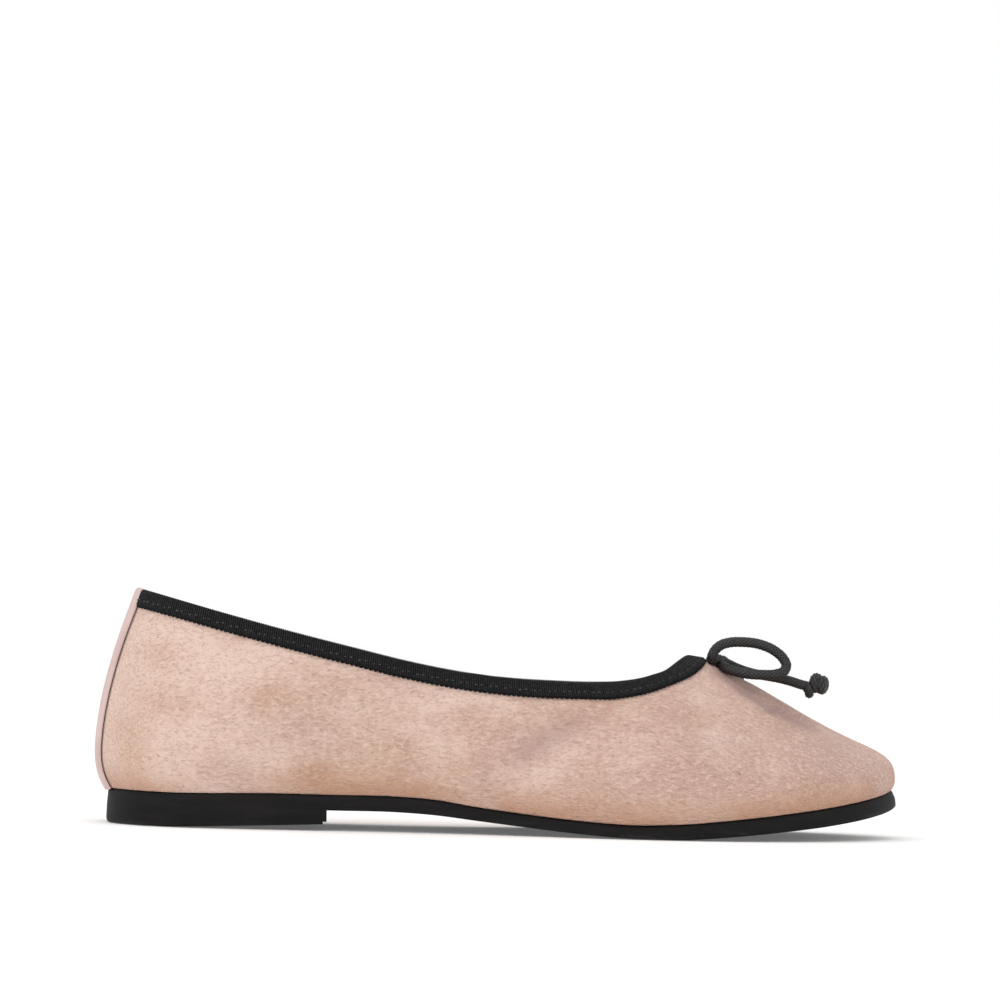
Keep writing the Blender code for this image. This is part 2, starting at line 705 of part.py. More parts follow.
def main():
    """Clear the scene and build the shoe."""
    for old in list(bpy.data.objects):
        bpy.data.objects.remove(old, do_unlink=True)
    parts = bpy.data.collections.new("ballet_flat")
    cutters = bpy.data.collections.new("cutters")
    for collection in (parts, cutters):
        bpy.context.scene.collection.children.link(collection)
    make_outsole(parts, cutters)
    make_upper(parts)
    make_insole(parts)
    make_binding(parts)
    make_heel_strip(parts)
    make_bow(parts, cutters)


SHIFT = origin_shift()
main()
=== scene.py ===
"""Looks of a ballet flat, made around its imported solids.

Suede upper, ribbed ribbon, heel strip, moulded sole, sock and cord bow are made again
as fine meshes from the tables that give the solids their shape, and dressed with
procedural finishes. The file is laid out as an add-on and run as a script.
Rows number the half sections of the upper: 0 is the middle of the heel, 12 the toe.
"""
import math

import bmesh
import bpy
import numpy as np
from mathutils import Color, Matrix, Quaternion, Vector, noise


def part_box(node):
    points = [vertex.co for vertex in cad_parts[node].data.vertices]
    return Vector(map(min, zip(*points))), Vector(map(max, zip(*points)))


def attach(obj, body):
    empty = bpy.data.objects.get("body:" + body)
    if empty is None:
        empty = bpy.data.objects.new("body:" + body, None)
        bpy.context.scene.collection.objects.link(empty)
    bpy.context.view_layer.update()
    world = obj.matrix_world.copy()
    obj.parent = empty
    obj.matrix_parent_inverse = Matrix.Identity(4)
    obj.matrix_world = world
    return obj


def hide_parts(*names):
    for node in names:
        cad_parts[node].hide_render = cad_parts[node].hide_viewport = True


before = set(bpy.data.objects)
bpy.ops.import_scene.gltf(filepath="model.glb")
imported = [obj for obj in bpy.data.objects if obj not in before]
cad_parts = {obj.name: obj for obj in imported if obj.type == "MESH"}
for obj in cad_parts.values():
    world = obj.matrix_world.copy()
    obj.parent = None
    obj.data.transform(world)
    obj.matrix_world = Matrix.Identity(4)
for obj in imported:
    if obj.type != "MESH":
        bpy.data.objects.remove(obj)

bl_info = {
    "name": "Ballet flat",
    "version": (1, 0, 0),
    "blender": (4, 5, 0),
    "location": "3D View > Sidebar > Ballet flat",
    "description": "Makes the looks of a ballet flat around its solids",
    "category": "Object",
}

# Driving sizes of the shoe, in metres, as the solids have them
SHOE_LENGTH = 0.2490
BALL_WIDTH = 0.0790
SOLE_THICKNESS = 0.0044
HEEL_LIFT = 0.0058
HEEL_LENGTH = 0.0656
HEEL_RELIEF = 0.0018
TOE_SPRING = 0.0118
SOLE_FLARE = 0.0014
SOLE_EDGE_RADIUS = 0.0007
BACK_HEIGHT = 0.0702
SIDE_HEIGHT = 0.0450
INSTEP_HEIGHT = 0.0541
UPPER_WALL = 0.0018
INSOLE_THICKNESS = 0.0030
BINDING_LEG = 0.0045
BINDING_THICKNESS = 0.0008
STRIP_WIDTH = 0.0130
STRIP_THICKNESS = 0.0010
STRIP_INNER_LEG = 0.0120
KNOT_STAND_OFF = 0.0012
CORD_DIAMETER = 0.0033
BOW_KNOT_WIDTH = 0.0084
TAIL_KNOT_WIDTH = 0.0062
FIT_GAP = 0.0003

# Shares and steps that the solids are built with
ARCH_END = 0.655
HEEL_FLAT_END = 0.70
LOWER_SHARE = 0.25
FOOT_SWELL = 0.60
FOOT_RISE = 0.25
WIDE_DROP = 0.45
STATIONS_PER_ROW = 4
FINE_STEPS = 60
ROW_STEP = 1e-3
BOX_MATCH = 0.0005

# How finely the pieces are meshed. LAY_STRIDE thins the path that is stated for a cord, and
# TABLE_EDGE keeps a lookup inside its table.
STATIONS = 480
JOINT_RINGS = 22
SIDE_RINGS = 62
EDGE_RINGS = 6
LINING_STRIDE = 4
RIBBON_SECTIONS = 720
LEG_POINTS = 5
FOLD_POINTS = 15
STRIP_RINGS = 90
STRIP_COLUMNS = 20
STRIP_FOLD_POINTS = 13
STRIP_INNER_RINGS = 12
STRIP_GRID = 15
ROUTE_STEPS = 600
FEWEST_RINGS = 8
FEWEST_ROUND = 24
CORD_AROUND = 40
CORE_AROUND = 28
TABLE_EDGE = 1.001

# Angles past which neighbouring faces meet in a sharp edge, in degrees
SOLE_SHARP = 38
RIBBON_SHARP = 50
STRIP_SHARP = 60

# Small forms and marks of upper, sole and sock, in metres. The two ripple scales are per
# metre. CALM is where ripples and creases fade out beside an edge or the heel strip.
RIPPLE_HEIGHT = 0.00016
RIPPLE_SCALE = 70.0
RIPPLE_FINE_SCALE = 160.0
CALM_EDGE = 0.006
CALM_STRIP = 0.010
STRIP_SHADE_START = 0.0006
STRIP_SHADE_END = 0.0011
STRIP_SHADE_FOOT = 0.0006
JOINT_TINT_TOP = 0.011
JOINT_TINT_FULL = 0.0005
DUST_TOP = 0.0016
SOCK_GAP = 0.0001

# Fineness of the patterns in the finishes, per metre, and reach of their waves in metres
NAP_WAVE = 320.0
NAP_WAVE_REACH = 0.0018
NAP_STREAKS = (520.0, 1400.0, 1400.0)
NAP_GRAIN = 2600.0
NAP_CLOUD = (60.0, 85.0, 95.0)
NAP_PATCH = (31.2, 52.0, 44.2)
NAP_SPECKS = 420.0
LEATHER_WAVE = 900.0
LEATHER_WAVE_REACH = 0.0004
LEATHER_PEBBLES = 1500.0
LEATHER_CLOUD = 55.0
RIBBON_THREADS = (900.0, 900.0, 2600.0)
RIBBON_CLOUD = 120.0
THREAD_TWIST = 3200.0
RUBBER_FLOW = (60.0, 60.0, 420.0)
RUBBER_SCUFFS = (160.0, 160.0, 900.0)
RUBBER_GRAIN = 1900.0
CORD_FIBRES = 3000.0
CORD_CLOUD = 260.0

# Depth of the finishes' fine relief, in metres
NAP_RELIEF = 0.0012
LEATHER_RELIEF = 0.00012
RIBBON_RELIEF = 0.00006
RUBBER_RELIEF = 0.00005
CORD_RELIEF = 0.00005

# SIDE_SHARPNESS is how fast creases and blotches end where the upper turns away. A crease
# fades over CREASE_ENDS of its length, and has raised lips on both sides: LIP_DISTANCE is
# in widths of the crease, LIP_HEIGHT a share of its depth.
SIDE_SHARPNESS = 2.0
CREASE_ENDS = 0.08
LIP_DISTANCE = 1.9
LIP_HEIGHT = 0.40

# Roundness. The lower a fold's power, the squarer the fold, and the higher the crown's, the
# flatter the heel strip. The last two are shares of STRIP_THICKNESS and of the breast step.
RIBBON_FOLD_POWER = 0.65
STRIP_FOLD_POWER = 0.4
STRIP_CROWN_POWER = 6
STRIP_EDGE_SHARE = 0.35
BREAST_LIP_RISE = 0.7

# Ribs, woven edge and stitches, as shares of their pitch, height or radius. Thickness and
# inset of the edge's loops are shares of BINDING_THICKNESS.
RIB_HALF_WIDTH = 0.36
RIB_HALF_HEIGHT = 1.25
RIB_SINK = 0.75
PICOT_HALF_DOWN = 0.30
PICOT_HALF_ALONG = 0.47
PICOT_HALF_THICK = 0.42
PICOT_INSET = 0.45
STITCH_DIP = 2.2
STITCH_DIP_POWER = 10
STITCH_POINTS = 9
STITCH_AROUND = 6
RIB_AROUND = 4

# Braid: how round a strand's crest is and its height beside a crossing. END_SHARE is the
# size of a cord's very end against its radius.
CREST_POWER = 0.6
CREST_LOW = 0.55
END_SHARE = 0.05

# Outlines seen from above, one row for each half section.
# Along is a share of SHOE_LENGTH from the heel, across a share of BALL_WIDTH.
OUTLINE = (
    # foot_along, foot_across, top_along, top_across
    (0.0120, 0.000, 0.0425, 0.000),
    (0.0470, -0.226, 0.0720, -0.176),
    (0.1120, -0.322, 0.1410, -0.274),
    (0.2080, -0.342, 0.2330, -0.328),
    (0.3200, -0.346, 0.3330, -0.362),
    (0.4330, -0.372, 0.4310, -0.384),
    (0.5440, -0.432, 0.5230, -0.388),
    (0.6440, -0.486, 0.6010, -0.366),
    (0.7320, -0.490, 0.6570, -0.310),
    (0.8130, -0.442, 0.6960, -0.226),
    (0.8880, -0.336, 0.7170, -0.130),
    (0.9490, -0.180, 0.7240, -0.048),
    (0.9860, 0.050, 0.7250, 0.026),
    (0.9680, 0.234, 0.7215, 0.100),
    (0.9180, 0.362, 0.7095, 0.184),
    (0.8440, 0.454, 0.6840, 0.272),
    (0.7620, 0.484, 0.6430, 0.338),
    (0.6730, 0.444, 0.5900, 0.364),
    (0.5790, 0.344, 0.5130, 0.362),
    (0.4710, 0.256, 0.4260, 0.350),
    (0.3510, 0.254, 0.3310, 0.334),
    (0.2280, 0.308, 0.2330, 0.310),
    (0.1200, 0.318, 0.1410, 0.266),
    (0.0470, 0.226, 0.0720, 0.176),
)

# How a half section swells between sole and topline, from the heel, 0, to the toe, 12.
# Bulge is a share of BALL_WIDTH, wall and rise are shares of SIDE_HEIGHT, mid_in and
# mid_up are shares of the way from the widest point to the topline, slope is the
# fall away from the topline in degrees and reach a share of BALL_WIDTH.
FORM = (
    # row, outer_bulge, inner_bulge, wall, rise, mid_in, mid_up, slope, reach
    (0.0, 0.041, 0.041, 0.260, 0.220, 0.24, 0.52, 71.0, 0.14),
    (2.0, 0.046, 0.044, 0.290, 0.200, 0.28, 0.55, 72.0, 0.13),
    (4.0, 0.044, 0.090, 0.310, 0.140, 0.26, 0.55, 74.0, 0.10),
    (6.0, 0.040, 0.060, 0.270, 0.120, 0.22, 0.52, 66.0, 0.10),
    (8.0, 0.026, 0.022, 0.190, 0.170, 0.22, 0.44, 44.0, 0.11),
    (10.0, 0.016, 0.016, 0.110, 0.260, 0.24, 0.20, 10.0, 0.16),
    (12.0, 0.012, 0.012, 0.066, 0.324, 0.25, 0.105, -3.0, 0.19),
)

# Height of the topline, as shares of the steps between the three named heights.
TOPLINE = (
    # along, back_share, outer_instep, inner_instep
    (0.0425, 1.000, 0.00, 0.00),
    (0.149, 0.720, 0.00, 0.00),
    (0.225, 0.535, 0.00, 0.00),
    (0.307, 0.350, 0.00, 0.00),
    (0.370, 0.212, 0.00, 0.00),
    (0.431, 0.108, 0.00, 0.00),
    (0.494, 0.040, 0.00, 0.00),
    (0.570, 0.006, 0.00, 0.00),
    (0.620, 0.000, 0.02, 0.00),
    (0.650, 0.000, 0.16, 0.03),
    (0.690, 0.000, 0.53, 0.24),
    (0.708, 0.000, 0.73, 0.46),
    (0.717, 0.000, 0.87, 0.72),
    (0.725, 0.000, 1.00, 1.00),
)

# Side of the sole unit, as shares of HEEL_LIFT, TOE_SPRING, SOLE_THICKNESS and SOLE_FLARE.
SOLE_SIDE = (
    # along, heel, spring, thick, flare
    (0.000, 1.00, 0.00, 1.00, 0.30),
    (0.100, 0.95, 0.00, 1.00, 0.30),
    (0.205, 1.04, 0.00, 1.00, 0.35),
    (0.285, 1.03, 0.00, 1.00, 0.40),
    (0.360, 1.02, 0.00, 1.00, 0.50),
    (0.407, 0.91, 0.00, 0.98, 0.60),
    (0.453, 0.70, 0.00, 0.87, 0.70),
    (0.505, 0.47, 0.00, 0.82, 0.80),
    (0.585, 0.15, 0.00, 0.82, 0.90),
    (0.650, 0.00, 0.00, 0.86, 1.00),
    (0.700, 0.00, 0.00, 0.98, 1.00),
    (0.754, 0.00, 0.08, 1.06, 1.00),
    (0.824, 0.00, 0.23, 1.12, 1.00),
    (0.894, 0.00, 0.41, 1.19, 1.00),
    (0.942, 0.00, 0.58, 1.21, 1.00),
    (0.970, 0.00, 0.71, 1.20, 1.00),
    (1.000, 0.00, 0.92, 1.15, 1.00),
)

# Side of the sole unit as rings around it, from the seat down to the tread.
SOLE_RINGS = (
    # drop, flare, inset
    (0.00, 0.00, 0.40),
    (0.03, 0.00, 0.10),
    (0.08, 0.15, 0.00),
    (0.25, 0.45, 0.00),
    (0.45, 0.80, 0.00),
    (0.66, 0.92, 0.00),
    (0.86, 1.00, 0.00),
    (0.93, 1.00, 0.15),
    (0.98, 1.00, 0.50),
    (1.00, 1.00, 1.00),
)

# Sock as rings from its middle out and down: share of the way in, and share of
# INSOLE_THICKNESS above its top.
SOCK_RINGS = (
    # inward, rise
    (0.62, -0.10),
    (0.40, -0.08),
    (0.22, -0.03),
    (0.09, 0.0),
    (0.03, 0.02),
    (0.0, 0.0),
    (0.0, -0.3),
    (0.0, -1.0),
    (0.3, -1.0),
)

# Bow's knot: half its length and height as shares of half of BOW_KNOT_WIDTH, and how far
# the knot of cord is pressed into the suede: forward, across and up.
KNOT_HALF_LENGTH = 0.54
KNOT_HALF_HEIGHT = 0.50
KNOT_PRESSED = (0.0012, 0.0, -0.0011)

# Strands that cross in the bow's knot, as routes from its middle, then their thickness
# as shares of the cord's, and how flat they are pressed.
KNOT_OVER = (
    (0.0003, -0.0042, -0.0006),
    (0.0002, -0.0020, -0.0002),
    (0.0, 0.0, 0.0),
    (0.0004, 0.0020, -0.0002),
    (0.0006, 0.0040, -0.0006),
)
KNOT_UNDER = (
    (0.0012, -0.0042, -0.0014),
    (0.0008, -0.0020, -0.0012),
    (0.0, 0.0, -0.0010),
    (-0.0002, 0.0020, -0.0010),
    (-0.0006, 0.0040, -0.0010),
)
KNOT_OVER_THICK = 0.86
KNOT_UNDER_THICK = 0.80
KNOT_FLAT = 0.85

# The turn of cord that holds the strands: its middle, the way it goes round, half its
# length and height in metres, and its radius as a share of half of BOW_KNOT_WIDTH.
WRAP_MIDDLE = (0.0005, -0.0002, -0.0004)
WRAP_AXIS = (0.10, 1.0, 0.06)
WRAP_HALF_LENGTH = 0.0014
WRAP_HALF_HEIGHT = 0.0009
WRAP_THICK = 0.30

# Knot at a tail's end: two big turns round a core, and a small turn, its bite, with the
# stub. Lengths are shares of half the knot's width, and of the small turn for bite and
# stub. TURN_ACROSS, TURN_LEAN and BITE_LEAN tilt what the turns go round.
SMALL_TURN = 0.72
SMALL_TURN_LEAN = 0.45
BIG_TURN_AHEAD = 0.95
BIG_TURN_LEAN = 0.62
TURN_ACROSS = 0.35
TURN_LEAN = 0.15
TURNS = (
    # ahead, wide
    (-0.30, 0.46),
    (0.36, 0.40),
)
TURN_THICK = 0.54
CORE_BACK = 0.60
CORE_AHEAD = 0.72
CORE_THICK = 0.50
BITE_DOWN = 0.6
BITE_LEAN = 0.25
BITE_WIDE = 0.54
BITE_THICK = 0.60
STUB_START = 0.2
STUB_END = 0.40
STUB_THICK = 0.92

# Routes of the bow, in metres from the middle of its knot: forward, across and up.
# The first and last points of a loop and the ends of a tail lie inside the knots.
OUTER_LOOP = (
    (-0.0004, -0.0030, -0.0006),
    (-0.0018, -0.0053, -0.0008),
    (-0.0020, -0.0064, 0.0006),
    (-0.0011, -0.0067, 0.0024),
    (0.0006, -0.0068, 0.0039),
    (0.0030, -0.0068, 0.0047),
    (0.0072, -0.0070, 0.0050),
    (0.0122, -0.0078, 0.0045),
    (0.0166, -0.0088, 0.0028),
    (0.0194, -0.0096, 0.0005),
    (0.0205, -0.0103, -0.0018),
    (0.0198, -0.0108, -0.0036),
    (0.0173, -0.0110, -0.0046),
    (0.0127, -0.0108, -0.0049),
    (0.0090, -0.0101, -0.0048),
    (0.0058, -0.0088, -0.0043),
    (0.0030, -0.0070, -0.0035),
    (0.0010, -0.0040, -0.0020),
)
INNER_LOOP = (
    (0.0006, 0.0024, 0.0000),
    (0.0020, 0.0048, -0.0010),
    (0.0023, 0.0078, -0.0029),
    (0.0032, 0.0112, -0.0048),
    (0.0052, 0.0144, -0.0073),
    (0.0080, 0.0170, -0.0102),
    (0.0112, 0.0192, -0.0131),
    (0.0146, 0.0214, -0.0162),
    (0.0172, 0.0238, -0.0192),
    (0.0184, 0.0264, -0.0217),
    (0.0172, 0.0288, -0.0232),
    (0.0142, 0.0294, -0.0226),
    (0.0108, 0.0278, -0.0198),
    (0.0076, 0.0250, -0.0160),
    (0.0046, 0.0216, -0.0121),
    (0.0020, 0.0178, -0.0082),
    (0.0003, 0.0136, -0.0050),
    (-0.0005, 0.0094, -0.0025),
    (-0.0008, 0.0052, -0.0009),
    (-0.0006, 0.0026, 0.0002),
)
OUTER_TAIL = (
    (-0.0014, 0.0006, 0.0000),
    (0.0004, -0.0008, -0.0004),
    (0.0032, -0.0022, -0.0017),
    (0.0068, -0.0034, -0.0033),
    (0.0104, -0.0040, -0.0044),
    (0.0142, -0.0044, -0.0051),
    (0.0188, -0.0048, -0.0058),
    (0.0228, -0.0052, -0.0067),
    (0.0262, -0.0056, -0.0077),
    (0.0292, -0.0059, -0.0083),
    (0.0318, -0.0062, -0.0085),
)
INNER_TAIL = (
    (0.0016, 0.0000, -0.0006),
    (0.0043, 0.0018, -0.0023),
    (0.0065, 0.0056, -0.0042),
    (0.0084, 0.0096, -0.0063),
    (0.0110, 0.0128, -0.0091),
    (0.0142, 0.0154, -0.0121),
    (0.0178, 0.0178, -0.0150),
    (0.0210, 0.0200, -0.0172),
    (0.0236, 0.0222, -0.0188),
    (0.0256, 0.0240, -0.0200),
)

# The bow's two halves: their routes, the point of the tail that its knot sits on, and
# the way in which the knot's turns lean.
BOW_HALVES = {
    "outer": {"loop": OUTER_LOOP, "tail": OUTER_TAIL, "knot_at": len(OUTER_TAIL) - 3,
              "lean": (0.0, 0.0, 1.0)},
    "inner": {"loop": INNER_LOOP, "tail": INNER_TAIL, "knot_at": len(INNER_TAIL) - 2,
              "lean": (0.64, -0.64, 0.40)},
}

# Creases of the upper, seen from the side. Side is -1 for the outer face and 1 for the
# inner one, width and depth are in metres, and a negative depth is a soft ridge.
# Then come the points along it: distance from the heel and height above the floor.
DEEPEST_CREASE = 0.0010
CREASES = (
    # side, width, depth, points
    (-1, 0.0040, 0.0006, ((0.1215, 0.0225), (0.1254, 0.0244), (0.136, 0.031), (0.1465, 0.036))),
    (-1, 0.0034, 0.0003, ((0.112, 0.014), (0.116, 0.019), (0.118, 0.025))),
    (-1, 0.0019, 0.0010, ((0.1873, 0.0514), (0.1965, 0.0448), (0.205, 0.0396), (0.2185, 0.0339))),
    (-1, 0.0015, 0.0005, ((0.1905, 0.0510), (0.200, 0.0450), (0.2085, 0.0405))),
    (-1, 0.0045, 0.0002, ((0.168, 0.040), (0.176, 0.034), (0.180, 0.027))),
    (1, 0.0050, 0.0006, ((0.118, 0.020), (0.130, 0.026), (0.141, 0.032))),
    (1, 0.0030, 0.0005, ((0.194, 0.043), (0.204, 0.037), (0.214, 0.031))),
    (1, 0.0060, 0.0005, ((0.078, 0.022), (0.090, 0.028), (0.104, 0.030))),
)

# Blotches of the suede on the outer side, by tone: distance from the heel, height above the floor,
# reach along, reach up and strength. The pale ones are painted highlights; the mauve ones along
# the creases are painted shade.
BLOTCHES = {
    "blotch_warm": (
        (0.0168, 0.0512, 0.0050, 0.0030, 0.35),
        (0.0168, 0.0383, 0.0070, 0.0035, 0.40),
        (0.0090, 0.0279, 0.0045, 0.0050, 0.45),
        (0.0099, 0.0214, 0.0040, 0.0035, 0.50),
        (0.0505, 0.0389, 0.0045, 0.0045, 0.55),
        (0.0649, 0.0165, 0.0060, 0.0040, 0.80),
        (0.0727, 0.0116, 0.0110, 0.0025, 0.60),
        (0.0983, 0.0123, 0.0120, 0.0025, 0.50),
        (0.1060, 0.0190, 0.0050, 0.0040, 0.35),
        (0.2075, 0.0375, 0.0060, 0.0040, 0.55),
        (0.1500, 0.0400, 0.0120, 0.0040, 0.35),
    ),
    "blotch_mauve": (
        (0.0406, 0.0180, 0.0055, 0.0035, 0.30),
        (0.0600, 0.0300, 0.0140, 0.0060, 0.25),
        (0.1284, 0.0275, 0.0050, 0.0040, 0.25),
        (0.2060, 0.0392, 0.0040, 0.0012, 1.00),
        (0.1965, 0.0448, 0.0030, 0.0014, 0.70),
        (0.1890, 0.0500, 0.0028, 0.0012, 0.50),
        (0.2128, 0.0356, 0.0060, 0.0035, 0.45),
        (0.2250, 0.0230, 0.0120, 0.0080, 0.30),
        (0.1840, 0.0200, 0.0200, 0.0080, 0.22),
    ),
    "blotch_pale": (
        (0.0200, 0.0450, 0.0160, 0.0120, 0.35),
        (0.0035, 0.0355, 0.0040, 0.0150, 0.30),
        (0.1350, 0.0225, 0.0120, 0.0035, 0.40),
        (0.2340, 0.0276, 0.0050, 0.0030, 0.45),
        (0.2000, 0.0360, 0.0040, 0.0100, 0.25),
    ),
}

# Camera and stage, in metres, but the sensor in millimetres
SENSOR_WIDTH = 36.0
NEAREST_SEEN = 0.01
FARTHEST_SEEN = 50.0
FLOOR_HALF = 6.0
FLOOR_DROP = 0.0002
LIGHTS = (
    # name, setting of its power, size, place
    ("overhead", "key_power", 1.2, (-0.2, -0.5, 1.5)),
    ("heel_side", "heel_power", 0.3, (-0.45, -0.50, 0.35)),
)

ROWS = len(OUTLINE)
TOE_ROW = ROWS // 2
UP = np.array((0.0, 0.0, 1.0))
WHITE = (1.0, 1.0, 1.0, 1.0)


def column(table, index):
    """One named column of a table as an array."""
    return np.array([row[index] for row in table], dtype=float)


def distances(points):
    """Distance of every point of a line from the line's start, along it."""
    return np.concatenate(([0.0], np.cumsum(np.linalg.norm(np.diff(points, axis=0), axis=1))))


def unit(vectors):
    """Vectors brought to a length of 1."""
    vectors = np.asarray(vectors, float)
    return vectors / np.linalg.norm(vectors, axis=-1, keepdims=True)


def curve_through(knots, values, at):
    """A smooth curve through the rows of a table, its slopes taken from the neighbours."""
    steps = np.diff(knots)
    rises = np.diff(values) / steps
    inner = (rises[:-1] * steps[1:] + rises[1:] * steps[:-1]) / (steps[:-1] + steps[1:])
    slopes = np.concatenate((rises[:1], inner, rises[-1:]))
    cell = np.clip(np.searchsorted(knots, at, side="right") - 1, 0, len(steps) - 1)
    t = (at - knots[cell]) / steps[cell]
    start, end = values[cell], values[cell + 1]
    leave, arrive = slopes[cell] * steps[cell], slopes[cell + 1] * steps[cell]
    return (start * (1 + 2 * t) * (1 - t) ** 2 + leave * t * (1 - t) ** 2
            + end * t ** 2 * (3 - 2 * t) - arrive * t ** 2 * (1 - t))


def closed_curve(values, at):
    """A smooth closed curve through evenly spaced rows, read at row numbers."""
    count = len(values)
    ring = np.eye(count)
    matrix = 4 * ring + np.roll(ring, 1, axis=1) + np.roll(ring, -1, axis=1)
    bend = np.linalg.solve(
        matrix, 6 * (np.roll(values, -1) - 2 * values + np.roll(values, 1)))
    cell = np.floor(at).astype(int)
    t = at - cell
    here, after = cell % count, (cell + 1) % count
    return ((1 - t) * values[here] + t * values[after]
            - t * (1 - t) * ((2 - t) * bend[here] + (1 + t) * bend[after]) / 6)


def outline_point(row, first_column):
    """Plan position of the outline, and its outward normal, at row numbers."""
    along = SHOE_LENGTH * column(OUTLINE, first_column)
    across = BALL_WIDTH * column(OUTLINE, first_column + 1)
    spots = [np.stack((closed_curve(along, row + step), closed_curve(across, row + step)), -1)
             for step in (0.0, -ROW_STEP, ROW_STEP)]
    run = unit(spots[2] - spots[1])
    return spots[0], np.stack((run[..., 1], -run[..., 0]), -1)


def form(name, row):
    """One column of the FORM table at row numbers, mirrored past heel and toe."""
    names = ("row", "outer_bulge", "inner_bulge", "wall", "rise",
             "mid_in", "mid_up", "slope", "reach")
    knots = column(FORM, 0)
    values = column(FORM, names.index(name))
    knots = np.concatenate((-knots[:0:-1], knots, 2 * TOE_ROW - knots[-2::-1]))
    values = np.concatenate((values[:0:-1], values, values[-2::-1]))
    turned = np.abs((row + TOE_ROW) % ROWS - TOE_ROW)
    return curve_through(knots, values, turned)


def inner_side(row):
    """0 on the outer side of the shoe, 1 on its inner side, changing smoothly."""
    return 0.5 - 0.5 * np.sin(2 * np.pi * row / ROWS)


def bulge(row):
    """How far the widest point stands out past the sole joint."""
    side = inner_side(row)
    return BALL_WIDTH * ((1 - side) * form("outer_bulge", row) + side * form("inner_bulge", row))


def sole_share(name, along):
    """One column of the SOLE_SIDE table at distances from the heel."""
    names = ("along", "heel", "spring", "thick", "flare")
    return curve_through(SHOE_LENGTH * column(SOLE_SIDE, 0),
                         column(SOLE_SIDE, names.index(name)), along)


def sole_bottom(along):
    """Underside of the sole unit, before the arch is cut."""
    return TOE_SPRING * np.maximum(sole_share("spring", along), 0.0)


def sole_top(along):
    """The seat that the upper and the insole stand on."""
    return (sole_bottom(along) + HEEL_LIFT * sole_share("heel", along)
            + SOLE_THICKNESS * sole_share("thick", along))


def topline_height(along, row):
    """Height of the upper's cut edge above the floor."""
    knots = SHOE_LENGTH * column(TOPLINE, 0)
    back = curve_through(knots, column(TOPLINE, 1), along)
    outer = curve_through(knots, column(TOPLINE, 2), along)
    inner = curve_through(knots, column(TOPLINE, 3), along)
    instep = outer + (inner - outer) * inner_side(row)
    return (SIDE_HEIGHT + (BACK_HEIGHT - SIDE_HEIGHT) * back
            + (INSTEP_HEIGHT - SIDE_HEIGHT) * instep)


def bezier(controls, t):
    """Points of one Bezier curve per row, for a list of control points."""
    degree = len(controls) - 1
    t = t[..., None]
    return sum(math.comb(degree, i) * (1 - t) ** (degree - i) * t ** i * point
               for i, point in enumerate(controls))


def lift(plan, height):
    """Plan points with a height."""
    return np.concatenate((plan, height[..., None]), -1)


def upper_surface(row, share):
    """Outer face of the upper. Share runs from the sole joint, 0, to the topline, 1."""
    row, share = np.broadcast_arrays(np.asarray(row, float), np.asarray(share, float))
    foot_plan, foot_out = outline_point(row, 0)
    top_plan, top_out = outline_point(row, 2)
    foot_out = lift(foot_out, np.zeros(row.shape))
    top_out = lift(top_out, np.zeros(row.shape))
    foot = lift(foot_plan, sole_top(foot_plan[..., 0]) + FIT_GAP)
    top = lift(top_plan, topline_height(top_plan[..., 0], row))
    swell = bulge(row)[..., None] * foot_out
    wall = (SIDE_HEIGHT * form("wall", row))[..., None] * UP
    wide = foot + swell + wall
    rise = (SIDE_HEIGHT * form("rise", row))[..., None] * UP
    slope = np.radians(form("slope", row))[..., None]
    fall = top_out * np.cos(slope) - UP * np.sin(slope)
    way = top - wide
    middle = wide + way * np.where(UP > 0, form("mid_up", row)[..., None],
                                   form("mid_in", row)[..., None])
    lower = bezier((foot, foot + FOOT_SWELL * swell + FOOT_RISE * wall,
                    wide - WIDE_DROP * wall, wide),
                   np.clip(share / LOWER_SHARE, 0, 1))
    upper = bezier((wide, wide + rise, middle,
                    top + fall * (BALL_WIDTH * form("reach", row))[..., None], top),
                   np.clip((share - LOWER_SHARE) / (1 - LOWER_SHARE), 0, 1))
    return np.where(share[..., None] < LOWER_SHARE, lower, upper)


def depth_shares(row):
    """Shares down one half section and their depths below the topline, along the face."""
    shares = np.linspace(1.0, 0.0, FINE_STEPS + 1)
    return shares, distances(upper_surface(row, shares))


def beside_wall(row, depths, heights):
    """Points beside the upper: depths below its cut edge, heights off its outer face."""
    depths, heights = np.array(depths, float), np.array(heights, float)
    shares, lengths = depth_shares(row)
    share = np.interp(depths, lengths, shares)
    high = np.minimum(share + ROW_STEP, 1.0)
    up_run = upper_surface(row, high) - upper_surface(row, high - ROW_STEP)
    side_run = upper_surface(row + ROW_STEP, share) - upper_surface(row - ROW_STEP, share)
    normal = unit(np.cross(side_run, up_run))
    past = np.maximum(-depths, 0.0)
    return upper_surface(row, share) + unit(up_run) * past[:, None] + normal * heights[:, None]


def down_shares(rows, depths):
    """Shares of many half sections at depths below the topline, one line for each depth."""
    shares = np.linspace(1.0, 0.0, FINE_STEPS + 1)
    wall = upper_surface(rows[None, :], shares[:, None])
    lengths = np.zeros(wall.shape[:2])
    lengths[1:] = np.cumsum(np.linalg.norm(np.diff(wall, axis=0), axis=-1), axis=0)
    return np.stack([np.interp(depths, lengths[:, i], shares) for i in range(len(rows))], -1)


def ribbon_axes(rows):
    """Cut edge of the upper, and the ribbon's ways down and out there, for many rows."""
    share = down_shares(rows, [BINDING_LEG])[0]
    top, low = upper_surface(rows, 1.0), upper_surface(rows, share)
    down = unit(low - top)
    side = upper_surface(rows + ROW_STEP, 1.0) - upper_surface(rows - ROW_STEP, 1.0)
    side += upper_surface(rows + ROW_STEP, share) - upper_surface(rows - ROW_STEP, share)
    return list(zip(top + SHIFT, down, unit(np.cross(down, side))))


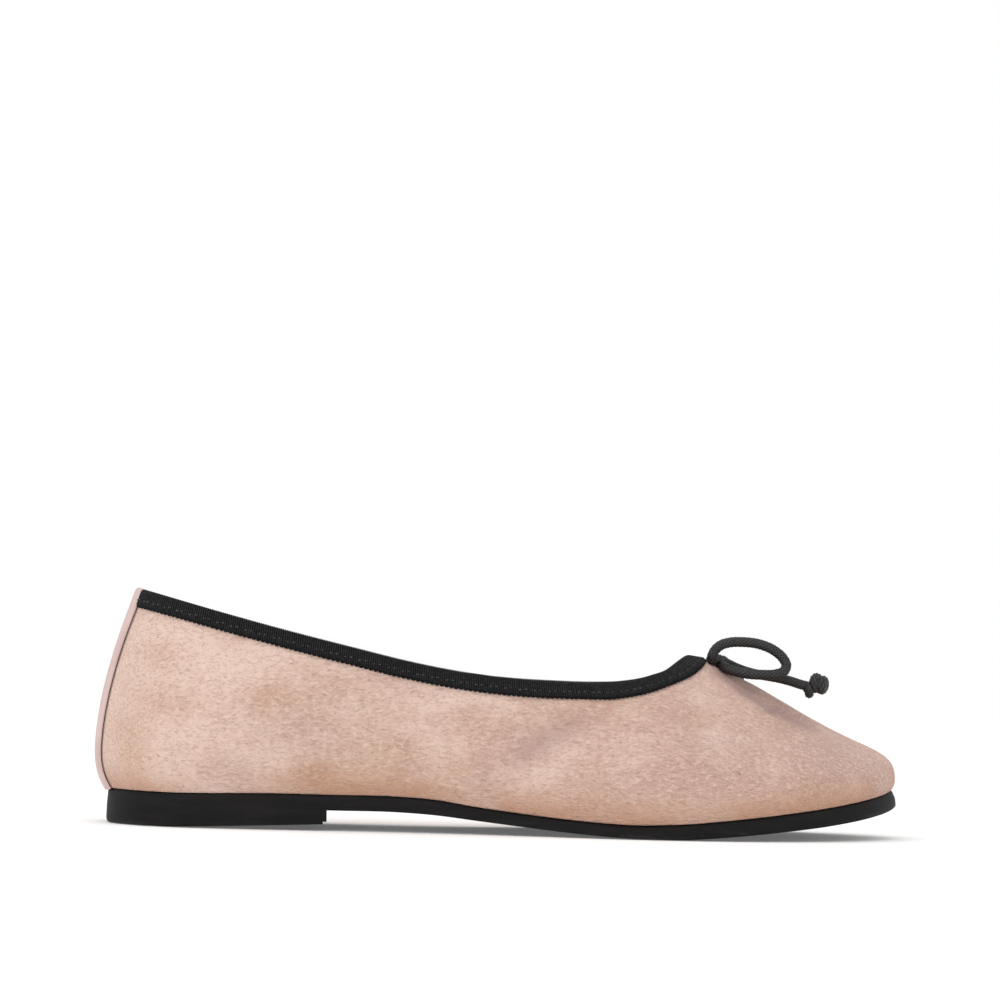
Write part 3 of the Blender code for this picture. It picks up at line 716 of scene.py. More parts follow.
def sole_ring(rows, drop, flare, inset):
    """One ring of the sole's side. Drop runs from the seat, 0, to the ground, 1."""
    plan, out = outline_point(rows, 0)
    along = plan[:, 0]
    spread = SOLE_FLARE * sole_share("flare", along) * flare - SOLE_EDGE_RADIUS * inset
    top, bottom = sole_top(along), sole_bottom(along)
    return lift(plan + out * spread[:, None], top + (bottom - top) * drop)


def origin_shift():
    """From heel and centre line to the origin in the middle of the shoe's box."""
    rows = np.linspace(0, ROWS, ROWS * STATIONS_PER_ROW + 1)
    wide = upper_surface(rows, LOWER_SHARE)
    sole = sole_ring(rows, drop=0.0, flare=1.0, inset=0.0)
    box = np.concatenate((wide, sole))
    return -0.5 * (box.min(axis=0) + box.max(axis=0)) * (1, 1, 0)


SHIFT = origin_shift()


def fine_rows(count=STATIONS):
    """Row numbers of evenly numbered sections all round the shoe."""
    return np.arange(count) * ROWS / count


def strip_edge_row():
    """Row number where the heel strip ends along the topline."""
    rows = np.linspace(0, 2, FINE_STEPS + 1)
    lengths = distances(upper_surface(rows, 1.0))
    return np.interp(STRIP_WIDTH / 2 + FIT_GAP, lengths, rows)


def bow_centre():
    """Middle of the bow's knot, just in front of the ribbon at the throat."""
    half = BOW_KNOT_WIDTH / 2
    ahead = BINDING_LEG + KNOT_HALF_LENGTH * half + KNOT_STAND_OFF
    clear = KNOT_HALF_HEIGHT * half + FIT_GAP
    return beside_wall(float(TOE_ROW), [ahead], [clear])[0] + SHIFT


def smooth_route(route, spacing):
    """Points of a smooth curve through a route, about evenly spaced, and their distances."""
    route = np.array(route)
    knots = distances(route)
    at = np.linspace(0, knots[-1], ROUTE_STEPS)
    fine = np.stack([curve_through(knots, route[:, axis], at) for axis in range(3)], -1)
    lengths = distances(fine)
    even = np.linspace(0, lengths[-1], max(FEWEST_RINGS, round(lengths[-1] / spacing)))
    return np.stack([np.interp(even, lengths, fine[:, axis]) for axis in range(3)], -1), even


# Materials

class Shade:
    """A socket of a material that takes part in sums with sockets and numbers."""

    def __init__(self, kit, socket):
        self.kit = kit
        self.socket = socket

    def sum(self, operation, left, right):
        """One Math node."""
        return self.kit.node("ShaderNodeMath", {"operation": operation}, {0: left, 1: right})

    def __add__(self, other):
        return self.sum("ADD", self, other)

    def __radd__(self, other):
        return self.sum("ADD", other, self)

    def __sub__(self, other):
        return self.sum("SUBTRACT", self, other)

    def __rsub__(self, other):
        return self.sum("SUBTRACT", other, self)

    def __mul__(self, other):
        return self.sum("MULTIPLY", self, other)

    def __rmul__(self, other):
        return self.sum("MULTIPLY", other, self)


class Finish:
    """A material being made: its node tree and the shader at its end."""

    def __init__(self, name, **constants):
        self.material = bpy.data.materials.new(name)
        self.material.use_nodes = True
        self.tree = self.material.node_tree
        self.shader = self.tree.nodes["Principled BSDF"]
        for name, value in constants.items():
            socket = name.replace("_", " ").title().replace("Ior", "IOR")
            self.shader.inputs[socket].default_value = value

    def node(self, kind, settings, sockets, output=0):
        """Any node: its settings first, then the values or links of its sockets."""
        made = self.tree.nodes.new(kind)
        for name, value in settings.items():
            if name == "stops":
                ramp = made.color_ramp
                ramp.elements[0].position, ramp.elements[0].color = value[0]
                ramp.elements[1].position, ramp.elements[1].color = value[-1]
                for position, colour in value[1:-1]:
                    ramp.elements.new(position).color = colour
            else:
                setattr(made, name, value)
        for name, value in sockets.items():
            self.feed(made.inputs[name], value)
        return Shade(self, made.outputs[output])

    def feed(self, socket, value):
        """Link a socket, or set its number or colour. A colour's alpha is added."""
        if isinstance(value, Shade):
            self.tree.links.new(value.socket, socket)
        elif isinstance(value, Color):
            socket.default_value = (*value, 1.0)
        else:
            socket.default_value = value

    def place(self):
        """Object coordinates, in metres."""
        return self.node("ShaderNodeTexCoord", {}, {}, "Object")

    def wander(self, vector, scale, reach):
        """A vector pushed about by a soft noise, so that a pattern on it waves."""
        push = self.node("ShaderNodeTexNoise", {}, {"Vector": vector, "Scale": scale}, "Color")
        centred = self.node("ShaderNodeVectorMath", {"operation": "SUBTRACT"},
                            {0: push, 1: (0.5, 0.5, 0.5)})
        sized = self.node("ShaderNodeVectorMath", {"operation": "SCALE"},
                          {0: centred, "Scale": reach})
        return self.node("ShaderNodeVectorMath", {"operation": "ADD"}, {0: vector, 1: sized})

    def noise(self, vector, scale, detail=2.0, rough=0.5):
        """Soft noise from 0 to 1."""
        return self.node("ShaderNodeTexNoise", {}, {"Vector": vector, "Scale": scale,
                                                    "Detail": detail, "Roughness": rough})

    def drawn_noise(self, vector, scales, detail=2.0, rough=0.5):
        """Soft noise from 0 to 1 with a scale of its own along each axis."""
        drawn = self.node("ShaderNodeVectorMath", {"operation": "MULTIPLY"},
                          {0: vector, 1: scales})
        return self.noise(drawn, 1.0, detail, rough)

    def attribute(self, name):
        """A number that the mesh carries."""
        return self.node("ShaderNodeAttribute", {"attribute_name": name}, {}, "Fac")

    def between(self, value, low, high):
        """A mask that climbs softly from 0 at low to 1 at high."""
        return self.node("ShaderNodeMapRange", {"interpolation_type": "SMOOTHSTEP"},
                         {"Value": value, "From Min": low, "From Max": high})

    def mix(self, factor, colour, other):
        """Two colours mixed by a mask."""
        return self.node("ShaderNodeMix", {"data_type": "RGBA"},
                         {0: factor, 6: colour, 7: other}, 2)

    def colour(self, value):
        """Colour of the finish."""
        self.feed(self.shader.inputs["Base Color"], value)

    def roughness(self, value):
        """How matte the finish is."""
        self.feed(self.shader.inputs["Roughness"], value)

    def bump(self, height, distance, strength=1.0):
        """Fine relief, in metres."""
        bumped = self.node("ShaderNodeBump", {}, {"Height": height, "Distance": distance,
                                                  "Strength": strength})
        self.feed(self.shader.inputs["Normal"], bumped)


def suede_finish(look):
    """Short brushed nap: wavy streaks, blotches, specks and a warm tone at the sole, with painted
    light brighter towards the heel, painted highlights in pale patches, and painted shade in the
    creases and beside the heel strip.
    """
    kit = Finish("brushed_suede", roughness=0.95, sheen_weight=0.15, sheen_roughness=0.45,
                 specular_ior_level=0.10)
    place = kit.place()
    streaks = kit.drawn_noise(kit.wander(place, NAP_WAVE, NAP_WAVE_REACH), NAP_STREAKS)
    grain = kit.noise(place, NAP_GRAIN, 1.0)
    cloud = kit.drawn_noise(place, NAP_CLOUD, 4.0, 0.6)
    patch = kit.drawn_noise(place, NAP_PATCH)
    along = kit.node("ShaderNodeSeparateXYZ", {}, {"Vector": place}, "X")
    # Painted light: lighter towards the heel and darker towards the toe, broken up by a soft
    # cloud.
    tone = kit.mix(kit.between(cloud - along * 1.3, 0.34, 0.68), look.nap, look.pale_nap_and_painted_light)
    tone = kit.mix(kit.between(patch, 0.50, 0.74) * 0.45, tone, look.nap_ochre)
    # Painted highlights: pale patches, the largest at the top of the heel.
    tone = kit.mix(kit.attribute("blotch_pale") * 0.7, tone, look.pale_nap_and_painted_light)
    ragged = 0.55 + cloud * 0.9
    tone = kit.mix(kit.attribute("blotch_warm") * ragged, tone, look.blotch_warm)
    # Mauve blotches; those along the creases are painted shade.
    tone = kit.mix(kit.attribute("blotch_mauve") * ragged, tone, look.mauve_and_crease_shade)
    nap = streaks * 0.72 + grain * 0.28
    tone = kit.mix(kit.between(nap, 0.54, 0.28) * 0.46, tone, look.nap_dark)
    tone = kit.mix(kit.between(nap, 0.50, 0.68) * 0.75, tone, look.pale_nap_and_painted_light)
    joint = kit.attribute("above_joint")
    warm = (kit.between(joint, JOINT_TINT_TOP, JOINT_TINT_FULL)
            * kit.between(patch + cloud * 0.4, 0.48, 0.80))
    tone = kit.mix(warm * 0.75, tone, look.joint_warm)
    # Painted shade: the suede darkened to mauve along its creases.
    tone = kit.mix(kit.attribute("crease") * 0.80, tone, look.mauve_and_crease_shade)
    # Painted shade: a dark line on the suede along the edge of the heel strip.
    heel = kit.attribute("from_heel")
    seam = (kit.between(heel, STRIP_WIDTH / 2 + STRIP_SHADE_END, STRIP_WIDTH / 2 + STRIP_SHADE_START)
            * kit.between(joint, 0.0, STRIP_SHADE_FOOT))
    tone = kit.mix(seam * 0.62, tone, look.strip_shade_and_specks)
    speck = kit.between(kit.noise(place, NAP_SPECKS, 1.0), 0.765, 0.79)
    kit.colour(kit.mix(speck * 0.25, tone, look.strip_shade_and_specks))
    kit.bump(nap, NAP_RELIEF, 1.0)
    return kit.material


def leather_finish(name, colour, worn):
    """Smooth leather with fine pebbled grain and a slightly darker touch where worn."""
    kit = Finish(name, sheen_weight=0.05, specular_ior_level=0.30)
    place = kit.place()
    bent = kit.wander(place, LEATHER_WAVE, LEATHER_WAVE_REACH)
    cells = kit.node("ShaderNodeTexVoronoi", {"feature": "SMOOTH_F1"},
                     {"Vector": bent, "Scale": LEATHER_PEBBLES}, "Distance")
    cloud = kit.noise(place, LEATHER_CLOUD, 3.0)
    tone = kit.mix(kit.between(cloud, 0.35, 0.70), colour, worn)
    kit.colour(kit.mix(kit.between(cells, 0.55, 0.95) * 0.25, tone, worn))
    kit.roughness(0.62 + cloud * 0.2)
    kit.bump(cells, LEATHER_RELIEF, 0.6)
    return kit.material


def ribbon_finish(name, cloth, worn):
    """Matte black ribbon with fine threads across its ribs."""
    kit = Finish(name, specular_ior_level=0.12)
    place = kit.place()
    threads = kit.drawn_noise(place, RIBBON_THREADS, 2.0, 0.6)
    cloud = kit.noise(place, RIBBON_CLOUD, 3.0)
    tone = kit.mix(kit.between(threads, 0.40, 0.72), cloth, worn)
    kit.colour(kit.mix(kit.between(cloud, 0.55, 0.80) * 0.4, tone, worn))
    kit.roughness(0.70 + threads * 0.2)
    kit.bump(threads, RIBBON_RELIEF, 0.7)
    return kit.material


def thread_finish(look):
    """Twisted sewing thread, a little greyer than the ribbon."""
    kit = Finish("sewing_thread", sheen_weight=0.2, specular_ior_level=0.3)
    twist = kit.noise(kit.place(), THREAD_TWIST, 1.0)
    kit.colour(kit.mix(kit.between(twist, 0.35, 0.70), look.thread, look.thread_light))
    kit.roughness(0.55 + twist * 0.2)
    return kit.material


def rubber_finish(look):
    """Moulded black rubber: matte, with faint flow marks and a dusty lower edge."""
    kit = Finish("moulded_rubber", specular_ior_level=0.14)
    place = kit.place()
    flow = kit.drawn_noise(place, RUBBER_FLOW, 4.0, 0.6)
    fine = kit.noise(place, RUBBER_GRAIN)
    scuff = kit.between(kit.drawn_noise(place, RUBBER_SCUFFS, 3.0), 0.62, 0.78)
    tone = kit.mix(kit.between(flow, 0.35, 0.75), look.rubber, look.rubber_grey)
    dust = kit.between(kit.attribute("above_ground"), DUST_TOP, 0.0)
    tone = kit.mix(dust * kit.between(flow, 0.45, 0.65) * 0.5, tone, look.dust)
    kit.colour(kit.mix(scuff * 0.25, tone, look.rubber_grey))
    kit.roughness(0.50 + flow * 0.22)
    kit.bump(fine * 0.6 + flow * 0.4, RUBBER_RELIEF, 0.6)
    return kit.material


def cord_finish(look):
    """Braided cord: near-black, a little glossier on the crests of its strands, which are painted
    lighter as highlights, as are soft speckles.
    """
    kit = Finish("braided_cord", specular_ior_level=0.32, coat_weight=0.04,
                 coat_roughness=0.30)
    place = kit.place()
    crest = kit.attribute("crest")
    cloud = kit.noise(place, CORD_CLOUD)
    # Painted highlights: the crests of the strands are painted lighter.
    tone = kit.mix(kit.between(crest, 0.35, 1.0), look.cord, look.cord_crest_highlight)
    # Painted highlights: soft speckles painted lighter.
    kit.colour(kit.mix(kit.between(cloud, 0.60, 0.80) * 0.5, tone, look.cord_crest_highlight))
    kit.roughness(0.62 - crest * 0.14)
    kit.bump(kit.noise(place, CORD_FIBRES), CORD_RELIEF, 0.7)
    return kit.material


def stage_finish(look):
    """Plain pale studio floor, lifted a little so that it meets the surround unseen."""
    kit = Finish("studio_floor", roughness=0.9, specular_ior_level=0.0,
                 emission_strength=look.floor_lift, emission_color=WHITE)
    kit.colour(look.floor)
    return kit.material


# Meshes

def ring_faces(rings, count, closed=True):
    """Quads between neighbouring rings of the same number of points."""
    ring = np.arange(rings - 1)[:, None] * count
    here = np.arange(count if closed else count - 1)[None, :]
    after = (here + 1) % count
    quads = np.stack((ring + here, ring + after, ring + count + after, ring + count + here), -1)
    return quads.reshape(-1, 4)


def mesh_of(name, points, faces):
    """A smooth mesh from arrays of points and faces."""
    mesh = bpy.data.meshes.new(name)
    mesh.from_pydata(np.asarray(points).reshape(-1, 3).tolist(), [],
                     [list(map(int, face)) for face in faces], shade_flat=False)
    mesh.update()
    return mesh


def faced_outwards(mesh):
    """The mesh with all its faces turned outwards."""
    shape = bmesh.new()
    shape.from_mesh(mesh)
    bmesh.ops.recalc_face_normals(shape, faces=shape.faces)
    shape.to_mesh(mesh)
    shape.free()
    return mesh


def add_number(mesh, name, values):
    """Give every point of a mesh a named number."""
    made = mesh.attributes.new(name, "FLOAT", "POINT")
    made.data.foreach_set("value", np.asarray(values, np.float32).ravel())


def add_piece(name, mesh, material, slot_name, *nodes):
    """A finished piece at the origin that rides on the shoe and stands for CAD nodes."""
    mesh.materials.clear()
    mesh.materials.append(material)
    piece = bpy.data.objects.new(name, mesh)
    bpy.context.scene.collection.objects.link(piece)
    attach(piece, "root")
    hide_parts(*nodes)
    return piece


def settled(mesh, *modifiers):
    """The mesh with modifiers run on it, each given by type and settings."""
    helper = bpy.data.objects.new("helper", mesh)
    bpy.context.scene.collection.objects.link(helper)
    for kind, settings in modifiers:
        added = helper.modifiers.new(kind.lower(), kind)
        for name, value in settings.items():
            setattr(added, name, value)
    graph = bpy.context.evaluated_depsgraph_get()
    made = bpy.data.meshes.new_from_object(helper.evaluated_get(graph), depsgraph=graph)
    made.name = mesh.name
    bpy.data.objects.remove(helper)
    return made


def face_normals(rows, shares):
    """Outward normals of the upper's outer face on a grid of sections."""
    side = upper_surface(rows + ROW_STEP, shares) - upper_surface(rows - ROW_STEP, shares)
    low = np.clip(shares, 0.0, 1.0 - ROW_STEP)
    climb = upper_surface(rows, low + ROW_STEP) - upper_surface(rows, low)
    return unit(np.cross(side, climb))


def beside_route(flat, route):
    """Distance of points seen from the side to a line, and how far along it they lie, 0 to 1."""
    ends = distances(route)
    best = np.full(flat.shape[:-1], np.inf)
    where = np.zeros(flat.shape[:-1])
    for i, run in enumerate(np.diff(route, axis=0)):
        t = np.clip(((flat - route[i]) @ run) / (run @ run), 0, 1)
        gap = np.linalg.norm(flat - route[i] - t[..., None] * run, axis=-1)
        nearer = gap < best
        best = np.where(nearer, gap, best)
        where = np.where(nearer, (ends[i] + t * (ends[i + 1] - ends[i])) / ends[-1], where)
    return best, where


def on_side(normals, side):
    """1 on one side of the shoe, -1 for the outer and 1 for the inner, and 0 on the other."""
    return np.clip(0.5 + SIDE_SHARPNESS * side * normals[..., 1], 0, 1)


def crease_depth(points, normals):
    """How deep the creases press the upper's face in, and how strongly their painted shade shows.
    """
    depth = np.zeros(points.shape[:-1])
    crease_shade = np.zeros(points.shape[:-1])
    flat = points[..., (0, 2)] - SHIFT[[0, 2]]
    for side, width, deep, route in CREASES:
        gap, where = beside_route(flat, np.array(route))
        fade = np.sin(np.pi * (CREASE_ENDS + (1 - 2 * CREASE_ENDS) * where))
        fade = np.sqrt(np.clip(fade, 0, 1)) * on_side(normals, side)
        trough = np.exp(-(gap / width) ** 2)
        lips = np.exp(-((gap - LIP_DISTANCE * width) / width) ** 2)
        depth += deep * fade * (trough - LIP_HEIGHT * lips)
        crease_shade = np.maximum(crease_shade, trough * fade * deep / DEEPEST_CREASE)
    return depth, crease_shade


def blotch_strength(points, normals, tone):
    """How strongly the blotches of one tone show on the outer side."""
    along = points[..., 0] - SHIFT[0]
    strength = np.zeros(along.shape)
    for place, up, wide, high, amount in BLOTCHES[tone]:
        gap = ((along - place) / wide) ** 2 + ((points[..., 2] - up) / high) ** 2
        strength = np.maximum(strength, amount * np.exp(-0.5 * gap) * on_side(normals, -1))
    return strength


def ripple(points):
    """Soft unevenness of the suede, about -1 to 1."""
    values = [noise.noise(Vector(point) * RIPPLE_SCALE)
              + 0.5 * noise.noise(Vector(point) * RIPPLE_FINE_SCALE)
              for point in points.reshape(-1, 3)]
    return np.array(values).reshape(points.shape[:-1])


def around_lengths(points):
    """Distance of every point from the back seam, along its own ring."""
    step = np.linalg.norm(np.roll(points, -1, axis=1) - points, axis=-1)
    forward = np.concatenate((np.zeros((len(points), 1)), np.cumsum(step, axis=1)), axis=1)
    return np.minimum(forward[:, :-1], forward[:, -1:] - forward[:, :-1])


def upper_grid():
    """Row numbers and shares of the upper's rings, with one ring along the ribbon's edge."""
    rows = fine_rows()
    ribbon = down_shares(rows, [BINDING_LEG])[0]
    joint = np.linspace(0, LOWER_SHARE, JOINT_RINGS, endpoint=False)[:, None]
    side = np.linspace(0, 1, SIDE_RINGS, endpoint=False)[:, None]
    edge = np.linspace(0, 1, EDGE_RINGS)[:, None]
    shares = np.concatenate((np.broadcast_to(joint, (JOINT_RINGS, STATIONS)),
                             LOWER_SHARE + (ribbon - LOWER_SHARE) * side,
                             ribbon + (1 - ribbon) * edge))
    return np.broadcast_to(rows, shares.shape), shares


def match_solid(face):
    """Stop where the tables give another shape than the upper's solid has."""
    corners = (face.min(axis=(0, 1)), face.max(axis=(0, 1)))
    for found, wanted in zip(corners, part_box("upper")):
        if np.abs(found - wanted).max() > BOX_MATCH:
            raise RuntimeError(f"the upper's tables don't match its solid: {found}, {wanted}")


def upper_mesh():
    """Closed shell of the upper: suede face, cut edge, lining and lasted edge."""
    rows, shares = upper_grid()
    face = upper_surface(rows, shares) + SHIFT
    match_solid(face)
    normals = face_normals(rows, shares)
    climb = np.linalg.norm(np.diff(face, axis=0), axis=-1)
    above = np.concatenate((np.zeros((1, STATIONS)), np.cumsum(climb, axis=0)))
    heel = around_lengths(face)
    depth, crease_shade = crease_depth(face, normals)
    calm = (np.clip((above[-1] - above - BINDING_LEG) / CALM_EDGE, 0, 1)
            * np.clip(above / CALM_EDGE, 0, 1)
            * np.clip((heel - STRIP_WIDTH / 2) / CALM_STRIP, 0, 1))
    outer = face - normals * (calm * (depth - RIPPLE_HEIGHT * ripple(face)))[..., None]
    within = list(range(len(outer) - 1, -1, -LINING_STRIDE))
    if within[-1] != 0:
        within.append(0)
    rings = np.concatenate((outer, outer[within] - normals[within] * UPPER_WALL))
    first = np.arange(STATIONS)
    last = (len(rings) - 1) * STATIONS + first
    closing = np.stack((last, np.roll(last, -1), np.roll(first, -1), first), -1)
    mesh = mesh_of("suede_upper", rings, [*ring_faces(len(rings), STATIONS), *closing])
    # The crease mark is the strength of the creases' painted shade.
    marks = {"above_joint": above, "from_heel": heel, "crease": crease_shade * calm}
    for tone in BLOTCHES:
        marks[tone] = blotch_strength(face, normals, tone)
    for name, values in marks.items():
        add_number(mesh, name, np.concatenate((values, values[within])))
    lining = np.zeros(len(mesh.polygons), np.int32)
    lining[len(outer) * STATIONS:] = 1
    return mesh, lining


def cap_quads(first, count):
    """A ladder of quads across one ring, from the outer side to the inner side."""
    faces = [[first, first + 1, first + count - 1]]
    for i in range(1, count // 2 - 1):
        faces.append([first + i, first + i + 1, first + count - i - 1, first + count - i])
    half = first + count // 2
    faces.append([half - 1, half, half + 1])
    return faces


def stacked_mesh(name, rings):
    """A closed solid from rings around the shoe, listed from the top down."""
    count = len(rings[0])
    faces = [*ring_faces(len(rings), count)[:, ::-1], *cap_quads(0, count)]
    faces += [face[::-1] for face in cap_quads((len(rings) - 1) * count, count)]
    return mesh_of(name, np.concatenate(rings), faces)


def arch_mesh(look):
    """The space under the waist, with the small step at the foot of the heel's breast."""
    below = -SOLE_THICKNESS
    breast = HEEL_LENGTH + SHOE_LENGTH * OUTLINE[0][0]
    tread = SHOE_LENGTH * ARCH_END
    along = np.linspace(breast, tread, FINE_STEPS)
    height = HEEL_LIFT * sole_share("heel", along)
    relief = breast - HEEL_FLAT_END * HEEL_LENGTH
    lip = look.breast_step
    ledge = HEEL_RELIEF + BREAST_LIP_RISE * lip
    profile = [(tread, below), (relief, below), (relief, 0.0), (breast - lip, HEEL_RELIEF),
               (breast - lip, ledge), (breast, ledge), *zip(along, height)]
    points = [(x, side, z) for side in (-BALL_WIDTH, BALL_WIDTH) for x, z in profile]
    count = len(profile)
    faces = [list(range(count)), list(range(2 * count - 1, count - 1, -1))]
    faces += [[i + count, (i + 1) % count + count, (i + 1) % count, i] for i in range(count)]
    return faced_outwards(mesh_of("arch", np.array(points) + SHIFT, faces))


def sole_mesh(look):
    """Moulded sole unit with rounded edges, cut away under the arch."""
    rings = [sole_ring(fine_rows(), *ring) + SHIFT for ring in SOLE_RINGS]
    cutter = bpy.data.objects.new("arch", arch_mesh(look))
    bpy.context.scene.collection.objects.link(cutter)
    mesh = settled(stacked_mesh("moulded_sole", rings),
                   ("BOOLEAN", {"operation": "DIFFERENCE", "solver": "EXACT",
                                "object": cutter}))
    bpy.data.objects.remove(cutter)
    spots = np.array([vert.co for vert in mesh.vertices])
    add_number(mesh, "above_ground", spots[:, 2] - sole_bottom(spots[:, 0] - SHIFT[0]))
    mesh.shade_smooth()
    mesh.set_sharp_from_angle(angle=math.radians(SOLE_SHARP))
    return mesh


def sock_mesh():
    """Insole board with a soft rounded edge and the shallow dish of the foot."""
    rows = fine_rows(STATIONS // 2)
    plan, out = outline_point(rows, 0)
    seat = sole_top(plan[:, 0]) + FIT_GAP
    middle = np.stack((plan[:, 0], np.zeros(len(rows))), -1)
    shares = np.linspace(0, LOWER_SHARE, FINE_STEPS)
    wall = upper_surface(rows[None, :], shares[:, None])[..., 2]
    rings = []
    for inward, rise in SOCK_RINGS:
        height = seat + INSOLE_THICKNESS * (1 + rise)
        share = np.array([np.interp(height[i], wall[:, i], shares) for i in range(len(rows))])
        edge = (upper_surface(rows, share) - face_normals(rows, share) * UPPER_WALL)[:, :2]
        edge -= out * SOCK_GAP
        spot = edge + (middle - edge) * inward
        rings.append(lift(spot, height) + SHIFT)
    return stacked_mesh("leather_sock", rings)


def ribbon_path(offset, leg):
    """Section of the folded ribbon as depths and heights, from outside over the edge to inside."""
    near = FIT_GAP + BINDING_THICKNESS + offset
    middle = -UPPER_WALL / 2
    turn = np.linspace(0, np.pi, FOLD_POINTS)
    straight = np.linspace(leg, 0, LEG_POINTS)[:-1]
    outside = np.full(len(straight), near)
    depths = np.concatenate((straight, -near * np.sin(turn) ** RIBBON_FOLD_POWER,
                             straight[::-1]))
    heights = np.concatenate((outside, middle + (near - middle) * np.cos(turn),
                              2 * middle - outside))
    return depths, heights


def ribbon_rows():
    """Row numbers along the ribbon, from one side of the heel strip to the other."""
    edge = strip_edge_row()
    return np.linspace(edge, ROWS - edge, RIBBON_SECTIONS)


def ribbon_mesh(axes, look):
    """The ribbon's cloth, folded over the topline."""
    depths, heights = ribbon_path(-look.rib_height, BINDING_LEG)
    lining = -UPPER_WALL - FIT_GAP
    depths = np.concatenate((depths, (BINDING_LEG, -FIT_GAP, -FIT_GAP, BINDING_LEG)))
    heights = np.concatenate((heights, (lining, lining, FIT_GAP, FIT_GAP)))
    rings = [top + np.outer(depths, down) + np.outer(heights, out) for top, down, out in axes]
    count = len(depths)
    total = len(rings) * count
    faces = [*ring_faces(len(rings), count)[:, ::-1], range(count),
             range(total - 1, total - count - 1, -1)]
    mesh = mesh_of("ribbon_cloth", np.concatenate(rings), faces)
    mesh.set_sharp_from_angle(angle=math.radians(RIBBON_SHARP))
    return mesh


def guide_line(name, axes, depth, height):
    """A line along the ribbon that carries its ways down and out for the repeats."""
    points = [top + down * depth + out * height for top, down, out in axes]
    mesh = bpy.data.meshes.new(name)
    mesh.from_pydata([tuple(point) for point in points],
                     [(i, i + 1) for i in range(len(points) - 1)], [])
    for label, index in (("down", 1), ("out", 2)):
        made = mesh.attributes.new(label, "FLOAT_VECTOR", "POINT")
        made.data.foreach_set("vector", np.array([spot[index] for spot in axes],
                                                 np.float32).ravel())
    return mesh


def repeat_tree():
    """Nodes that set copies of one small mesh along a line, square to its two directions."""
    tree = bpy.data.node_groups.new("repeat_along_ribbon", "GeometryNodeTree")
    for name, kind, way in (("Line", "Geometry", "INPUT"), ("Item", "Object", "INPUT"),
                            ("Spacing", "Float", "INPUT"), ("Finish", "Material", "INPUT"),
                            ("Pieces", "Geometry", "OUTPUT")):
        tree.interface.new_socket(name, in_out=way, socket_type="NodeSocket" + kind)

    def node(kind, settings=(), **sockets):
        made = tree.nodes.new(kind)
        for name, value in dict(settings).items():
            setattr(made, name, value)
        for name, value in sockets.items():
            socket = made.inputs[name.replace("_", " ")]
            if isinstance(value, bpy.types.NodeSocket):
                tree.links.new(value, socket)
            else:
                socket.default_value = value
        return made

    given = node("NodeGroupInput").outputs
    line = node("GeometryNodeMeshToCurve", Mesh=given["Line"]).outputs[0]
    spots = node("GeometryNodeResampleCurve", {"mode": "LENGTH"}, Curve=line,
                 Length=given["Spacing"]).outputs[0]
    down = node("GeometryNodeInputNamedAttribute", {"data_type": "FLOAT_VECTOR"}, Name="down")
    out = node("GeometryNodeInputNamedAttribute", {"data_type": "FLOAT_VECTOR"}, Name="out")
    turn = node("FunctionNodeAxesToRotation", {"primary_axis": "X", "secondary_axis": "Z"},
                Primary_Axis=down.outputs["Attribute"],
                Secondary_Axis=out.outputs["Attribute"]).outputs[0]
    item = node("GeometryNodeObjectInfo", Object=given["Item"]).outputs["Geometry"]
    copies = node("GeometryNodeInstanceOnPoints", Points=spots, Instance=item,
                  Rotation=turn).outputs[0]
    real = node("GeometryNodeRealizeInstances", Geometry=copies).outputs[0]
    dressed = node("GeometryNodeSetMaterial", Geometry=real, Material=given["Finish"])
    ends = node("NodeGroupOutput")
    tree.links.new(dressed.outputs[0], ends.inputs["Pieces"])
    return tree


def repeated(name, tree, line, item, spacing, material):
    """A plain mesh of copies of an item along a line."""
    helper = bpy.data.objects.new("line_of_" + name, line)
    small = bpy.data.objects.new("one_of_" + name, item)
    for made in (helper, small):
        bpy.context.scene.collection.objects.link(made)
    run = helper.modifiers.new("repeat", "NODES")
    run.node_group = tree
    given = {"Item": small, "Spacing": spacing, "Finish": material}
    for socket in tree.interface.items_tree:
        if socket.name in given:
            run[socket.identifier] = given[socket.name]
    graph = bpy.context.evaluated_depsgraph_get()
    mesh = bpy.data.meshes.new_from_object(helper.evaluated_get(graph), depsgraph=graph)
    mesh.name = name
    for made in (helper, small):
        bpy.data.objects.remove(made)
    return mesh


def rod_mesh(name, path, wide, thick, around):
    """A thin bar along a path in its own plane, X down, Z out, for ribs and stitches."""
    path = np.array(path, float)
    run = unit(np.gradient(path, axis=0))
    side = np.array((1.0, 0.0, 0.0) if abs(run[0][1]) > 0.9 else (0.0, 1.0, 0.0))
    angles = 2 * np.pi * (np.arange(around) + 0.5) / around
    rings = [point + wide * np.cos(a) * side + thick * np.sin(a) * over
             for point, over in zip(path, np.cross(run, side)) for a in angles]
    total = len(rings)
    faces = [*ring_faces(len(path), around), range(around - 1, -1, -1),
             range(total - around, total)]
    return faced_outwards(mesh_of(name, rings, faces))


def rib_mesh(look):
    """One rib of the ribbon, from its outer face over the edge to its inner face."""
    depths, heights = ribbon_path(-look.rib_height * RIB_SINK, BINDING_LEG - look.selvedge)
    path = [(depth, 0.0, height) for depth, height in zip(depths, heights)]
    return rod_mesh("rib", path, look.rib_pitch * RIB_HALF_WIDTH,
                    look.rib_height * RIB_HALF_HEIGHT, RIB_AROUND)


def stitch_mesh(look):
    """One stitch that rises out of the cloth and sinks back into it."""
    half, radius = look.stitch_length / 2, look.thread_radius
    path = [(0.0, half * t, radius * (1.0 - STITCH_DIP * t ** STITCH_DIP_POWER))
            for t in np.linspace(-1, 1, STITCH_POINTS)]
    return rod_mesh("stitch", path, radius, radius, STITCH_AROUND)


